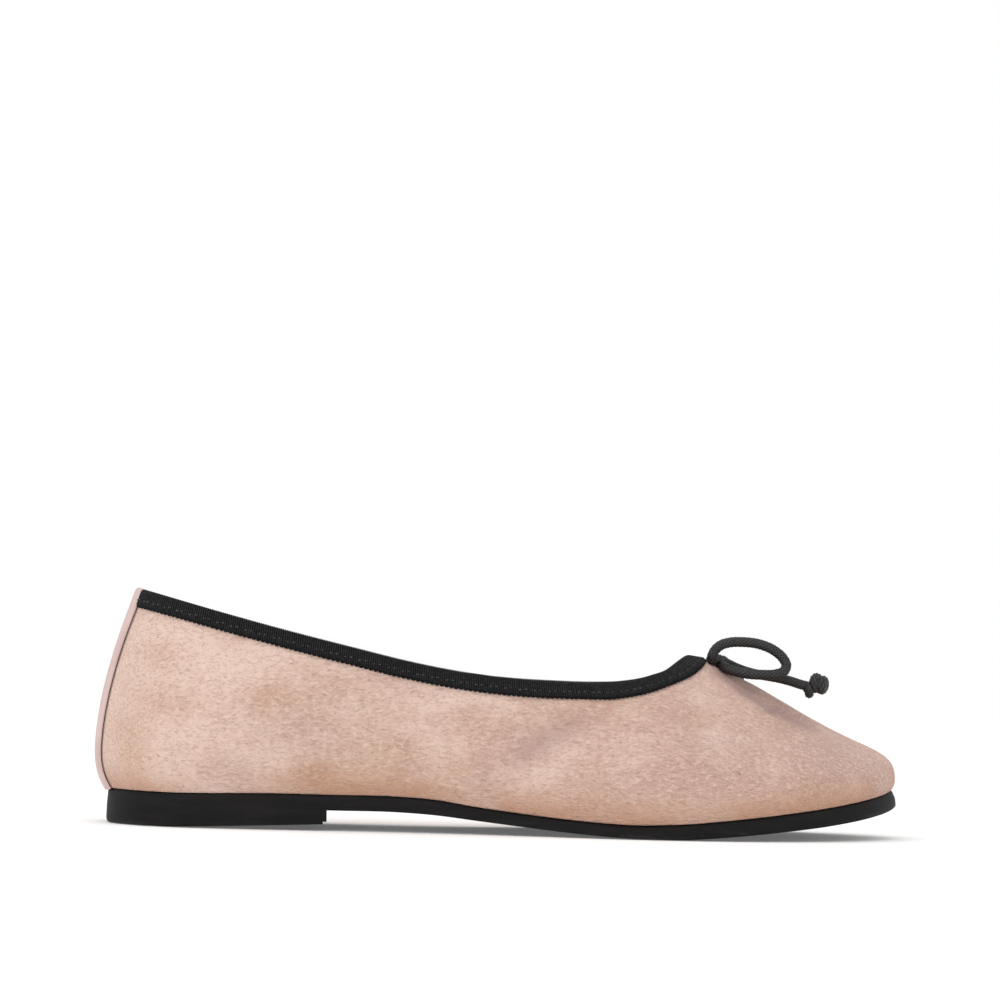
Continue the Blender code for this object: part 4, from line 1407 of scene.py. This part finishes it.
def turned_inside(mesh):
    """The mesh mirrored in its own height, for the ribbon's inner side."""
    for vert in mesh.vertices:
        vert.co.z = -vert.co.z
    mesh.flip_normals()
    return mesh


def picot_mesh(look):
    """One small loop of the ribbon's woven edge, filled as a soft bead."""
    shape = bmesh.new()
    bmesh.ops.create_uvsphere(shape, u_segments=8, v_segments=6, radius=1.0)
    size = (look.picot_pitch * PICOT_HALF_DOWN, look.picot_pitch * PICOT_HALF_ALONG,
            BINDING_THICKNESS * PICOT_HALF_THICK)
    for vert in shape.verts:
        vert.co = [c * s for c, s in zip(vert.co, size)]
    for face in shape.faces:
        face.smooth = True
    mesh = bpy.data.meshes.new("picot")
    shape.to_mesh(mesh)
    shape.free()
    return mesh


def strip_path():
    """Middle of the heel strip's inner face as depths and heights, up the back and inside."""
    length = depth_shares(0.0)[1][-1]
    middle = -UPPER_WALL / 2
    turn = np.linspace(0, np.pi, STRIP_FOLD_POINTS)[1:-1]
    depths = np.concatenate((np.linspace(length, 0.0, STRIP_RINGS),
                             -FIT_GAP * np.sin(turn) ** STRIP_FOLD_POWER,
                             np.linspace(0.0, STRIP_INNER_LEG, STRIP_INNER_RINGS)))
    heights = np.concatenate((np.full(STRIP_RINGS, FIT_GAP),
                              middle + (FIT_GAP - middle) * np.cos(turn),
                              np.full(STRIP_INNER_RINGS, -UPPER_WALL - FIT_GAP)))
    return depths, heights


def shares_at(rows, depths):
    """Shares at row numbers and depths that both change over a grid, read from a table."""
    across = np.linspace(rows.min(), rows.max(), STRIP_GRID)
    down = np.linspace(0.0, depth_shares(0.0)[1][-1], 4 * STRIP_RINGS)
    table = down_shares(across, down)
    at = np.clip(depths / down[1], 0, len(down) - TABLE_EDGE)
    beside = np.clip((rows - across[0]) / (across[1] - across[0]), 0,
                     len(across) - TABLE_EDGE)
    i, j = at.astype(int), beside.astype(int)
    u, v = at - i, beside - j
    share = ((1 - u) * ((1 - v) * table[i, j] + v * table[i, j + 1])
             + u * ((1 - v) * table[i + 1, j] + v * table[i + 1, j + 1]))
    return np.clip(share, 0.0, 1.0)


def strip_mesh():
    """Heel strip with rounded edges, up the back and over the topline to the inside."""
    depths, heights = strip_path()
    run = unit(np.gradient(np.stack((depths, heights), -1), axis=0))
    step = beside_wall(ROW_STEP, depths, heights) - beside_wall(-ROW_STEP, depths, heights)
    pace = np.linalg.norm(step, axis=1) / (2 * ROW_STEP)
    pace[STRIP_RINGS:] = pace[STRIP_RINGS - 1]
    shares = np.linspace(-1, 1, STRIP_COLUMNS)
    round_off = (1 - np.abs(shares) ** STRIP_CROWN_POWER) ** 0.5
    crown = STRIP_THICKNESS * (STRIP_EDGE_SHARE + (1 - STRIP_EDGE_SHARE) * round_off)
    across = np.concatenate((shares, shares[::-1])) / 2
    rise = np.concatenate((crown, np.zeros(STRIP_COLUMNS)))
    rows = across * STRIP_WIDTH / pace[:, None]
    depth = depths[:, None] + run[:, 1:] * rise
    height = heights[:, None] - run[:, :1] * rise
    share = shares_at(rows, depth)
    low = np.minimum(share, 1.0 - ROW_STEP)
    climb = unit(upper_surface(rows, low + ROW_STEP) - upper_surface(rows, low))
    points = (upper_surface(rows, share) + climb * np.maximum(-depth, 0.0)[..., None]
              + face_normals(rows, share) * height[..., None] + SHIFT)
    count = len(across)
    total = len(depths) * count
    faces = [*ring_faces(len(depths), count), range(count - 1, -1, -1),
             range(total - count, total)]
    mesh = faced_outwards(mesh_of("heel_strip_leather", points, faces))
    mesh.set_sharp_from_angle(angle=math.radians(STRIP_SHARP))
    return mesh


def braid(turns, along, look):
    """Height of a braided cord's face, from 0 between strands to 1 on a crest."""
    u = look.braid_strands * turns + along / look.braid_pitch
    v = look.braid_strands * turns - along / look.braid_pitch
    one, other = np.sin(np.pi * (u % 1.0)), np.sin(np.pi * (v % 1.0))
    over = (np.floor(u) + np.floor(v)) % 2 < 1
    return np.where(over, one ** CREST_POWER * (CREST_LOW + (1 - CREST_LOW) * other),
                    other ** CREST_POWER * (CREST_LOW + (1 - CREST_LOW) * one))


def tube_mesh(name, path, along, radius, look, around=CORD_AROUND, flat=1.0, closed=False,
              side=UP):
    """A braided tube along a path, its ends rounded, or closed on itself."""
    path = np.array(path)
    if closed:
        run = unit(np.roll(path, -1, axis=0) - np.roll(path, 1, axis=0))
    else:
        run = unit(np.gradient(path, axis=0))
    lead = np.array(side, float)
    angles = np.arange(around) / around
    turn = 2 * np.pi * angles[:, None]
    rings, crests = [], []
    for point, way, distance in zip(path, run, along):
        lead = unit(lead - way * (lead @ way))
        cross = np.cross(way, lead)
        shrink = 1.0
        if not closed:
            end = min(distance, along[-1] - distance) / radius
            shrink = math.sqrt(max(0.0, 1 - (1 - min(end, 1.0)) ** 2))
        crest = braid(angles, distance, look)
        size = max(shrink, END_SHARE) * (radius + look.braid_relief * (crest - 0.5))
        rings.append(point + size[:, None] * (np.cos(turn) * cross + flat * np.sin(turn) * lead))
        crests.append(crest)
    last = (len(rings) - 1) * around
    faces = list(ring_faces(len(rings), around))
    if closed:
        faces += [(last + i, last + (i + 1) % around, (i + 1) % around, i)
                  for i in range(around)]
    else:
        faces += [range(around - 1, -1, -1), range(last, last + around)]
    mesh = faced_outwards(mesh_of(name, rings, faces))
    add_number(mesh, "crest", crests)
    return mesh


def ring_route(centre, axis, major, minor, spacing):
    """A closed oval around an axis, longer towards the front than upwards, and its distances."""
    first = unit(np.cross(unit(axis), UP))
    second = np.cross(unit(axis), first)
    count = max(FEWEST_ROUND, round(2 * np.pi * major / spacing))
    turn = 2 * np.pi * np.arange(count)[:, None] / count
    path = centre + major * np.cos(turn) * first + minor * np.sin(turn) * second
    return path, turn[:, 0] * major


def joined(name, meshes):
    """Several meshes as one, with their named numbers."""
    shape = bmesh.new()
    for mesh in meshes:
        shape.from_mesh(mesh)
    made = bpy.data.meshes.new(name)
    shape.to_mesh(made)
    shape.free()
    return made


def bow_knot_mesh(look):
    """The bow's knot: the crossing strands and the turn of cord that holds them."""
    centre = bow_centre() + KNOT_PRESSED
    parts = []
    for name, route, thick in (("over", KNOT_OVER, KNOT_OVER_THICK),
                               ("under", KNOT_UNDER, KNOT_UNDER_THICK)):
        strand, along = smooth_route(route, look.braid_step)
        parts.append(tube_mesh(name, strand + centre, along, thick * CORD_DIAMETER / 2, look,
                               flat=KNOT_FLAT))
    wrap, along = ring_route(centre + WRAP_MIDDLE, WRAP_AXIS, WRAP_HALF_LENGTH,
                             WRAP_HALF_HEIGHT, look.braid_step)
    parts.append(tube_mesh("wrap", wrap, along, WRAP_THICK * BOW_KNOT_WIDTH / 2, look,
                           closed=True))
    return joined("knot_of_cord", parts)


def tail_knot_mesh(name, end, run, lean, look):
    """Overhand knot at a tail's end: two round turns, their core, the bite and the cut end."""
    big, small = TAIL_KNOT_WIDTH / 2, SMALL_TURN * TAIL_KNOT_WIDTH / 2
    run, lean = unit(run), unit(lean)
    cross = np.cross(run, lean)
    seat = bow_centre() + end + run * (small + FIT_GAP)
    low = seat - lean * SMALL_TURN_LEAN * big
    middle = seat + (run * BIG_TURN_AHEAD + lean * BIG_TURN_LEAN) * big
    step = look.braid_step
    parts = []
    for ahead, wide in TURNS:
        turn, along = ring_route(middle + run * ahead * big,
                                 run + TURN_ACROSS * cross + TURN_LEAN * lean,
                                 wide * big, wide * big, step)
        parts.append(tube_mesh("turn", turn, along, TURN_THICK * big, look, closed=True,
                               side=run))
    core, along = smooth_route((middle - run * CORE_BACK * big, middle,
                                middle + run * CORE_AHEAD * big), step)
    parts.append(tube_mesh("core", core, along, CORE_THICK * big, look, CORE_AROUND))
    bite, along = ring_route((1 - BITE_DOWN) * seat + BITE_DOWN * low, run + BITE_LEAN * lean,
                             BITE_WIDE * small, BITE_WIDE * small, step)
    parts.append(tube_mesh("bite", bite, along, BITE_THICK * small, look, closed=True, side=run))
    stub, along = smooth_route((seat + lean * STUB_START * big, low,
                                low - lean * STUB_END * small), step)
    parts.append(tube_mesh("stub", stub, along, STUB_THICK * small, look, CORE_AROUND,
                           side=cross))
    return joined(name, parts)


# Settings that a user would change

class FlatSuedeSettings(bpy.types.PropertyGroup):
    """Colours of the suede upper, the linings and the heel strip."""

    nap: bpy.props.FloatVectorProperty(
        name="Nap", description="Main colour of the suede", subtype="COLOR",
        default=(0.600, 0.402, 0.336), min=0, max=1)
    # Pale nap of the streaks, and also the colour of the painted light towards the heel and of the
    # painted highlights.
    pale_nap_and_painted_light: bpy.props.FloatVectorProperty(
        name="Light nap", description="Suede brushed towards the light", subtype="COLOR",
        default=(0.740, 0.548, 0.466), min=0, max=1)
    nap_dark: bpy.props.FloatVectorProperty(
        name="Dark nap", description="Suede between the streaks", subtype="COLOR",
        default=(0.360, 0.215, 0.160), min=0, max=1)
    nap_ochre: bpy.props.FloatVectorProperty(
        name="Ochre nap", description="Yellower blotches", subtype="COLOR",
        default=(0.535, 0.350, 0.245), min=0, max=1)
    blotch_warm: bpy.props.FloatVectorProperty(
        name="Warm blotches", description="Rubbed brownish blotches", subtype="COLOR",
        default=(0.500, 0.290, 0.190), min=0, max=1)
    joint_warm: bpy.props.FloatVectorProperty(
        name="Joint", description="Warm tone along the sole", subtype="COLOR",
        default=(0.520, 0.285, 0.185), min=0, max=1)
    # Painted shade in the creases, and the tone of the mauve blotches.
    mauve_and_crease_shade: bpy.props.FloatVectorProperty(
        name="Crease", description="Tone of the suede in its creases", subtype="COLOR",
        default=(0.370, 0.232, 0.212), min=0, max=1)
    # Painted shade beside the heel strip, and the colour of the dark specks.
    strip_shade_and_specks: bpy.props.FloatVectorProperty(
        name="Seam", description="Dark line beside the heel strip", subtype="COLOR",
        default=(0.140, 0.060, 0.048), min=0, max=1)
    strip: bpy.props.FloatVectorProperty(
        name="Heel strip", description="Colour of the heel strip", subtype="COLOR",
        default=(0.610, 0.462, 0.430), min=0, max=1)
    strip_worn: bpy.props.FloatVectorProperty(
        name="Worn strip", description="Rubbed parts of the heel strip", subtype="COLOR",
        default=(0.490, 0.350, 0.325), min=0, max=1)
    lining: bpy.props.FloatVectorProperty(
        name="Lining", description="Colour of lining and sock", subtype="COLOR",
        default=(0.700, 0.570, 0.460), min=0, max=1)
    lining_worn: bpy.props.FloatVectorProperty(
        name="Worn lining", description="Darker parts of lining and sock", subtype="COLOR",
        default=(0.600, 0.460, 0.350), min=0, max=1)


class FlatTrimSettings(bpy.types.PropertyGroup):
    """Sizes and colours of the ribbon, its stitches and the bow."""

    rib_pitch: bpy.props.FloatProperty(
        name="Rib pitch", description="Distance between ribs", default=0.00068,
        unit="LENGTH", precision=5)
    rib_height: bpy.props.FloatProperty(
        name="Rib height", description="How far a rib stands out", default=0.00018,
        unit="LENGTH", precision=5)
    selvedge: bpy.props.FloatProperty(
        name="Selvedge", description="Flat woven edge below the ribs", default=0.0003,
        unit="LENGTH", precision=5)
    picot_pitch: bpy.props.FloatProperty(
        name="Edge loop pitch", description="Distance between loops of the woven edge",
        default=0.00145, unit="LENGTH", precision=5)
    stitch_pitch: bpy.props.FloatProperty(
        name="Stitch pitch", description="Distance between stitches", default=0.0044,
        unit="LENGTH", precision=5)
    stitch_length: bpy.props.FloatProperty(
        name="Stitch length", description="Length of one stitch", default=0.0024,
        unit="LENGTH", precision=5)
    stitch_rise: bpy.props.FloatProperty(
        name="Stitch line", description="Height of the stitches above the ribbon's lower edge",
        default=0.0019, unit="LENGTH", precision=5)
    thread_radius: bpy.props.FloatProperty(
        name="Thread radius", description="Half the thickness of the thread", default=0.00022,
        unit="LENGTH", precision=5)
    braid_strands: bpy.props.IntProperty(
        name="Strands", description="Strands of the braid each way round", default=8, min=3)
    braid_pitch: bpy.props.FloatProperty(
        name="Braid pitch", description="Length of one crossing of the braid", default=0.0013,
        unit="LENGTH", precision=5)
    braid_relief: bpy.props.FloatProperty(
        name="Braid relief", description="How far strands stand out", default=0.00026,
        unit="LENGTH", precision=5)
    braid_step: bpy.props.FloatProperty(
        name="Braid step", description="Length between rings of a cord's mesh", default=0.00024,
        unit="LENGTH", precision=5)
    loop_share: bpy.props.FloatProperty(
        name="Loop thickness", description="Thickness of a drawn loop against the cord's",
        default=0.90, subtype="FACTOR", min=0.5, max=1)
    tail_share: bpy.props.FloatProperty(
        name="Tail thickness", description="Thickness of a tail against a loop's", default=0.86,
        subtype="FACTOR", min=0.5, max=1)
    ribbon: bpy.props.FloatVectorProperty(
        name="Ribbon", description="Colour of the ribbon", subtype="COLOR",
        default=(0.0040, 0.0040, 0.0044), min=0, max=1)
    ribbon_worn: bpy.props.FloatVectorProperty(
        name="Ribbon threads", description="Lighter threads of the ribbon", subtype="COLOR",
        default=(0.0120, 0.0120, 0.0130), min=0, max=1)
    rib: bpy.props.FloatVectorProperty(
        name="Ribs", description="Colour of the ribs", subtype="COLOR",
        default=(0.0150, 0.0150, 0.0160), min=0, max=1)
    rib_worn: bpy.props.FloatVectorProperty(
        name="Worn ribs", description="Lighter threads of the ribs", subtype="COLOR",
        default=(0.0340, 0.0340, 0.0360), min=0, max=1)
    thread: bpy.props.FloatVectorProperty(
        name="Thread", description="Colour of the thread", subtype="COLOR",
        default=(0.050, 0.053, 0.058), min=0, max=1)
    thread_light: bpy.props.FloatVectorProperty(
        name="Light thread", description="Lit side of the thread", subtype="COLOR",
        default=(0.150, 0.155, 0.160), min=0, max=1)
    cord: bpy.props.FloatVectorProperty(
        name="Cord", description="Colour between the strands", subtype="COLOR",
        default=(0.0060, 0.0060, 0.0063), min=0, max=1)
    # Painted highlights on the crests of the strands and in speckles.
    cord_crest_highlight: bpy.props.FloatVectorProperty(
        name="Cord crests", description="Colour on the strands", subtype="COLOR",
        default=(0.0420, 0.0400, 0.0400), min=0, max=1)


class FlatSoleSettings(bpy.types.PropertyGroup):
    """Size and colours of the moulded sole."""

    breast_step: bpy.props.FloatProperty(
        name="Breast step", description="Small step at the foot of the heel's front face",
        default=0.0011, unit="LENGTH", precision=5)
    rubber: bpy.props.FloatVectorProperty(
        name="Rubber", description="Colour of the sole", subtype="COLOR",
        default=(0.0050, 0.0046, 0.0046), min=0, max=1)
    rubber_grey: bpy.props.FloatVectorProperty(
        name="Grey rubber", description="Flow marks and scuffs", subtype="COLOR",
        default=(0.0110, 0.0100, 0.0100), min=0, max=1)
    dust: bpy.props.FloatVectorProperty(
        name="Dust", description="Dust on the lower edge", subtype="COLOR",
        default=(0.0400, 0.0370, 0.0350), min=0, max=1)


class FlatStageSettings(bpy.types.PropertyGroup):
    """Camera, floor and light."""

    azimuth: bpy.props.FloatProperty(
        name="Azimuth", description="Camera's turn around the shoe",
        default=math.radians(-5.0), subtype="ANGLE")
    elevation: bpy.props.FloatProperty(
        name="Elevation", description="Camera's angle above the floor",
        default=math.radians(1.0), subtype="ANGLE")
    roll: bpy.props.FloatProperty(
        name="Roll", description="Camera's roll", default=math.radians(1.5), subtype="ANGLE")
    distance: bpy.props.FloatProperty(
        name="Distance", description="Camera to the middle of the shoe", default=1.2,
        unit="LENGTH")
    aim_height: bpy.props.FloatProperty(
        name="Aim height", description="Height of the point that the camera turns about",
        default=0.037, unit="LENGTH", precision=4)
    scale: bpy.props.FloatProperty(
        name="Scale", description="Picture widths per metre at the middle of the shoe",
        default=3.245)
    centre_x: bpy.props.FloatProperty(
        name="Centre across", description="Where the aim lies, in picture widths from the left",
        default=0.504)
    centre_y: bpy.props.FloatProperty(
        name="Centre down", description="Where the aim lies, in picture widths from the top",
        default=0.7095)
    floor: bpy.props.FloatVectorProperty(
        name="Floor", description="Colour of the floor", subtype="COLOR",
        default=(0.90, 0.892, 0.885), min=0, max=1)
    floor_lift: bpy.props.FloatProperty(
        name="Floor lift", description="Glow that keeps the floor white", default=0.12)
    world_light: bpy.props.FloatProperty(
        name="Surround", description="Strength of the even light", default=1.0)
    key_power: bpy.props.FloatProperty(
        name="Overhead light", description="Power of the light above", default=4.0,
        unit="POWER")
    heel_power: bpy.props.FloatProperty(
        name="Heel light", description="Power of the light at the heel's side", default=0.6,
        unit="POWER")


# Operators, one for each piece or group of like pieces

class FLAT_OT_camera(bpy.types.Operator):
    """Place the camera at the low side view"""

    bl_idname = "ballet_flat.camera"
    bl_label = "Camera"

    def execute(self, context):
        look = context.scene.flat_stage
        turn, rise = look.azimuth, look.elevation
        back = Vector((math.sin(turn) * math.cos(rise), -math.cos(turn) * math.cos(rise),
                       math.sin(rise)))
        data = bpy.data.cameras.new("side_view")
        data.sensor_width = SENSOR_WIDTH
        data.lens = data.sensor_width * look.scale * look.distance
        data.clip_start = NEAREST_SEEN
        data.clip_end = FARTHEST_SEEN
        camera = bpy.data.objects.new("side_view", data)
        context.scene.collection.objects.link(camera)
        camera.rotation_mode = "QUATERNION"
        camera.location = Vector((0, 0, look.aim_height)) + back * look.distance
        facing = (-back).to_track_quat("-Z", "Y")
        roll = Quaternion((0.0, 0.0, 1.0), look.roll)
        reach = look.scale * look.distance
        aim = Vector(((look.centre_x - 0.5) / reach, (0.5 - look.centre_y) / reach, -1.0))
        camera.rotation_quaternion = facing @ roll @ aim.rotation_difference(Vector((0, 0, -1)))
        context.scene.camera = camera
        return {"FINISHED"}


class FLAT_OT_bow(bpy.types.Operator):
    """Make the cord bow: loops and tails, the knot at the throat and the tails' knots"""

    bl_idname = "ballet_flat.bow"
    bl_label = "Cord bow"

    def execute(self, context):
        look = context.scene.flat_trim
        material = cord_finish(look)
        centre = bow_centre()
        knot = add_piece("bow_knot_cord", bow_knot_mesh(look), material, "bow_cord", "bow_knot")
        for side, half in BOW_HALVES.items():
            path, along = smooth_route(half["loop"], look.braid_step)
            path = path + centre
            mesh = tube_mesh(f"loop_{side}", path, along, look.loop_share * CORD_DIAMETER / 2,
                             look)
            piece = add_piece(f"bow_loop_{side}_cord", mesh, material, "bow_cord",
                              f"bow_loop_{side}")
            tail = np.array(half["tail"])
            path, along = smooth_route(tail, look.braid_step)
            path = path + centre
            thin = CORD_DIAMETER * look.tail_share
            mesh = tube_mesh(f"tail_{side}", path, along, thin / 2, look)
            piece = add_piece(f"bow_tail_{side}_cord", mesh, material, "bow_cord",
                              f"bow_tail_{side}")
            end, before = tail[half["knot_at"]], tail[half["knot_at"] - 1]
            mesh = tail_knot_mesh(f"end_{side}", end, end - before, half["lean"], look)
            end_knot = add_piece(f"tail_knot_{side}_cord", mesh, material, "bow_cord",
                                 f"tail_knot_{side}")
        return {"FINISHED"}


class FLAT_OT_upper(bpy.types.Operator):
    """Make the suede upper with its lining"""

    bl_idname = "ballet_flat.upper"
    bl_label = "Suede upper"

    def execute(self, context):
        look = context.scene.flat_suede
        mesh, lining = upper_mesh()
        piece = add_piece("suede_upper", mesh, suede_finish(look), "suede", "upper")
        piece.data.materials.append(leather_finish("lining_leather", look.lining,
                                                   look.lining_worn))
        piece.data.polygons.foreach_set("material_index", lining)
        piece.data.update()
        return {"FINISHED"}


class FLAT_OT_sole(bpy.types.Operator):
    """Make the moulded sole unit and the sock inside the shoe"""

    bl_idname = "ballet_flat.sole"
    bl_label = "Sole and sock"

    def execute(self, context):
        look = context.scene.flat_sole
        add_piece("moulded_sole", sole_mesh(look), rubber_finish(look), "sole_unit", "outsole")
        suede = context.scene.flat_suede
        add_piece("leather_sock", sock_mesh(),
                  leather_finish("sock_leather", suede.lining, suede.lining_worn),
                  "lining_leather", "insole")
        return {"FINISHED"}


class FLAT_OT_ribbon(bpy.types.Operator):
    """Make the folded ribbon with its ribs, woven edge and stitches"""

    bl_idname = "ballet_flat.ribbon"
    bl_label = "Topline ribbon"

    def execute(self, context):
        look = context.scene.flat_trim
        cloth = ribbon_finish("grosgrain_ribbon", look.ribbon, look.ribbon_worn)
        ribbed = ribbon_finish("grosgrain_rib", look.rib, look.rib_worn)
        axes = ribbon_axes(ribbon_rows())
        add_piece("ribbon_cloth", ribbon_mesh(axes, look), cloth, "ribbon", "topline_binding")
        tree = repeat_tree()
        near = FIT_GAP + BINDING_THICKNESS - look.rib_height
        far = -UPPER_WALL - near
        line = guide_line("topline", axes, 0.0, 0.0)
        ribs = repeated("ribbon_ribs", tree, line, rib_mesh(look), look.rib_pitch, ribbed)
        add_piece("ribbon_ribs", ribs, ribbed, "ribbon")
        inset = PICOT_INSET * BINDING_THICKNESS
        for side, edge in (("outer", near - inset), ("inner", far + inset)):
            line = guide_line("edge", axes, BINDING_LEG, edge)
            loops = repeated("ribbon_edge", tree, line, picot_mesh(look), look.picot_pitch, cloth)
            add_piece(f"ribbon_edge_{side}", loops, cloth, "ribbon")
        thread = thread_finish(look)
        for side, face, stitch in (("outer", near, stitch_mesh(look)),
                                   ("inner", far, turned_inside(stitch_mesh(look)))):
            line = guide_line("stitch_line", axes, BINDING_LEG - look.stitch_rise, face)
            row = repeated("ribbon_stitches", tree, line, stitch, look.stitch_pitch, thread)
            add_piece(f"ribbon_stitches_{side}", row, thread, "ribbon")
        return {"FINISHED"}


class FLAT_OT_strip(bpy.types.Operator):
    """Make the heel strip"""

    bl_idname = "ballet_flat.strip"
    bl_label = "Heel strip"

    def execute(self, context):
        look = context.scene.flat_suede
        add_piece("heel_strip_leather", strip_mesh(),
                  leather_finish("strip_leather", look.strip, look.strip_worn),
                  "strip_leather", "heel_strip")
        return {"FINISHED"}


class FLAT_OT_stage(bpy.types.Operator):
    """Make the pale floor and the soft studio light"""

    bl_idname = "ballet_flat.stage"
    bl_label = "Floor and light"

    def execute(self, context):
        look = context.scene.flat_stage
        corners = ((-1, -1), (1, -1), (1, 1), (-1, 1))
        mesh = mesh_of("floor", [(FLOOR_HALF * x, FLOOR_HALF * y, -FLOOR_DROP)
                                 for x, y in corners], [range(4)])
        mesh.materials.append(stage_finish(look))
        floor = bpy.data.objects.new("studio_floor", mesh)
        context.scene.collection.objects.link(floor)
        world = bpy.data.worlds.new("studio")
        world.use_nodes = True
        surround = world.node_tree.nodes["Background"]
        surround.inputs["Color"].default_value = WHITE
        surround.inputs["Strength"].default_value = look.world_light
        context.scene.world = world
        for name, power, size, spot in LIGHTS:
            light = bpy.data.lights.new(name, "AREA")
            light.energy = getattr(look, power)
            light.size = size
            lamp = bpy.data.objects.new(name, light)
            lamp.location = spot
            lamp.rotation_mode = "QUATERNION"
            lamp.rotation_quaternion = (-Vector(spot)).to_track_quat("-Z", "Y")
            context.scene.collection.objects.link(lamp)
        context.scene.view_settings.view_transform = "Standard"
        return {"FINISHED"}


STEPS = ("camera", "bow", "upper", "sole", "ribbon", "strip", "stage")


class FLAT_PT_sidebar(bpy.types.Panel):
    """Steps and settings of the ballet flat"""

    bl_idname = "FLAT_PT_sidebar"
    bl_label = "Ballet flat"
    bl_space_type = "VIEW_3D"
    bl_region_type = "UI"
    bl_category = "Ballet flat"

    def draw(self, context):
        for step in STEPS:
            self.layout.operator(f"ballet_flat.{step}")
        for name, group in SETTINGS.items():
            box = self.layout.box()
            for setting in group.__annotations__:
                box.prop(getattr(context.scene, name), setting)


SETTINGS = {
    "flat_suede": FlatSuedeSettings,
    "flat_trim": FlatTrimSettings,
    "flat_sole": FlatSoleSettings,
    "flat_stage": FlatStageSettings,
}
CLASSES = (*SETTINGS.values(), FLAT_OT_camera, FLAT_OT_bow, FLAT_OT_upper, FLAT_OT_sole,
           FLAT_OT_ribbon, FLAT_OT_strip, FLAT_OT_stage, FLAT_PT_sidebar)


def register():
    """Make the settings, operators and panel known."""
    for made in CLASSES:
        bpy.utils.register_class(made)
    for name, group in SETTINGS.items():
        setattr(bpy.types.Scene, name, bpy.props.PointerProperty(type=group))


def unregister():
    """Take them away again."""
    for name in SETTINGS:
        delattr(bpy.types.Scene, name)
    for made in reversed(CLASSES):
        bpy.utils.unregister_class(made)


def main():
    """Make every piece in order."""
    register()
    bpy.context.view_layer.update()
    for step in STEPS:
        getattr(bpy.ops.ballet_flat, step)()


if __name__ == "__main__":
    main()
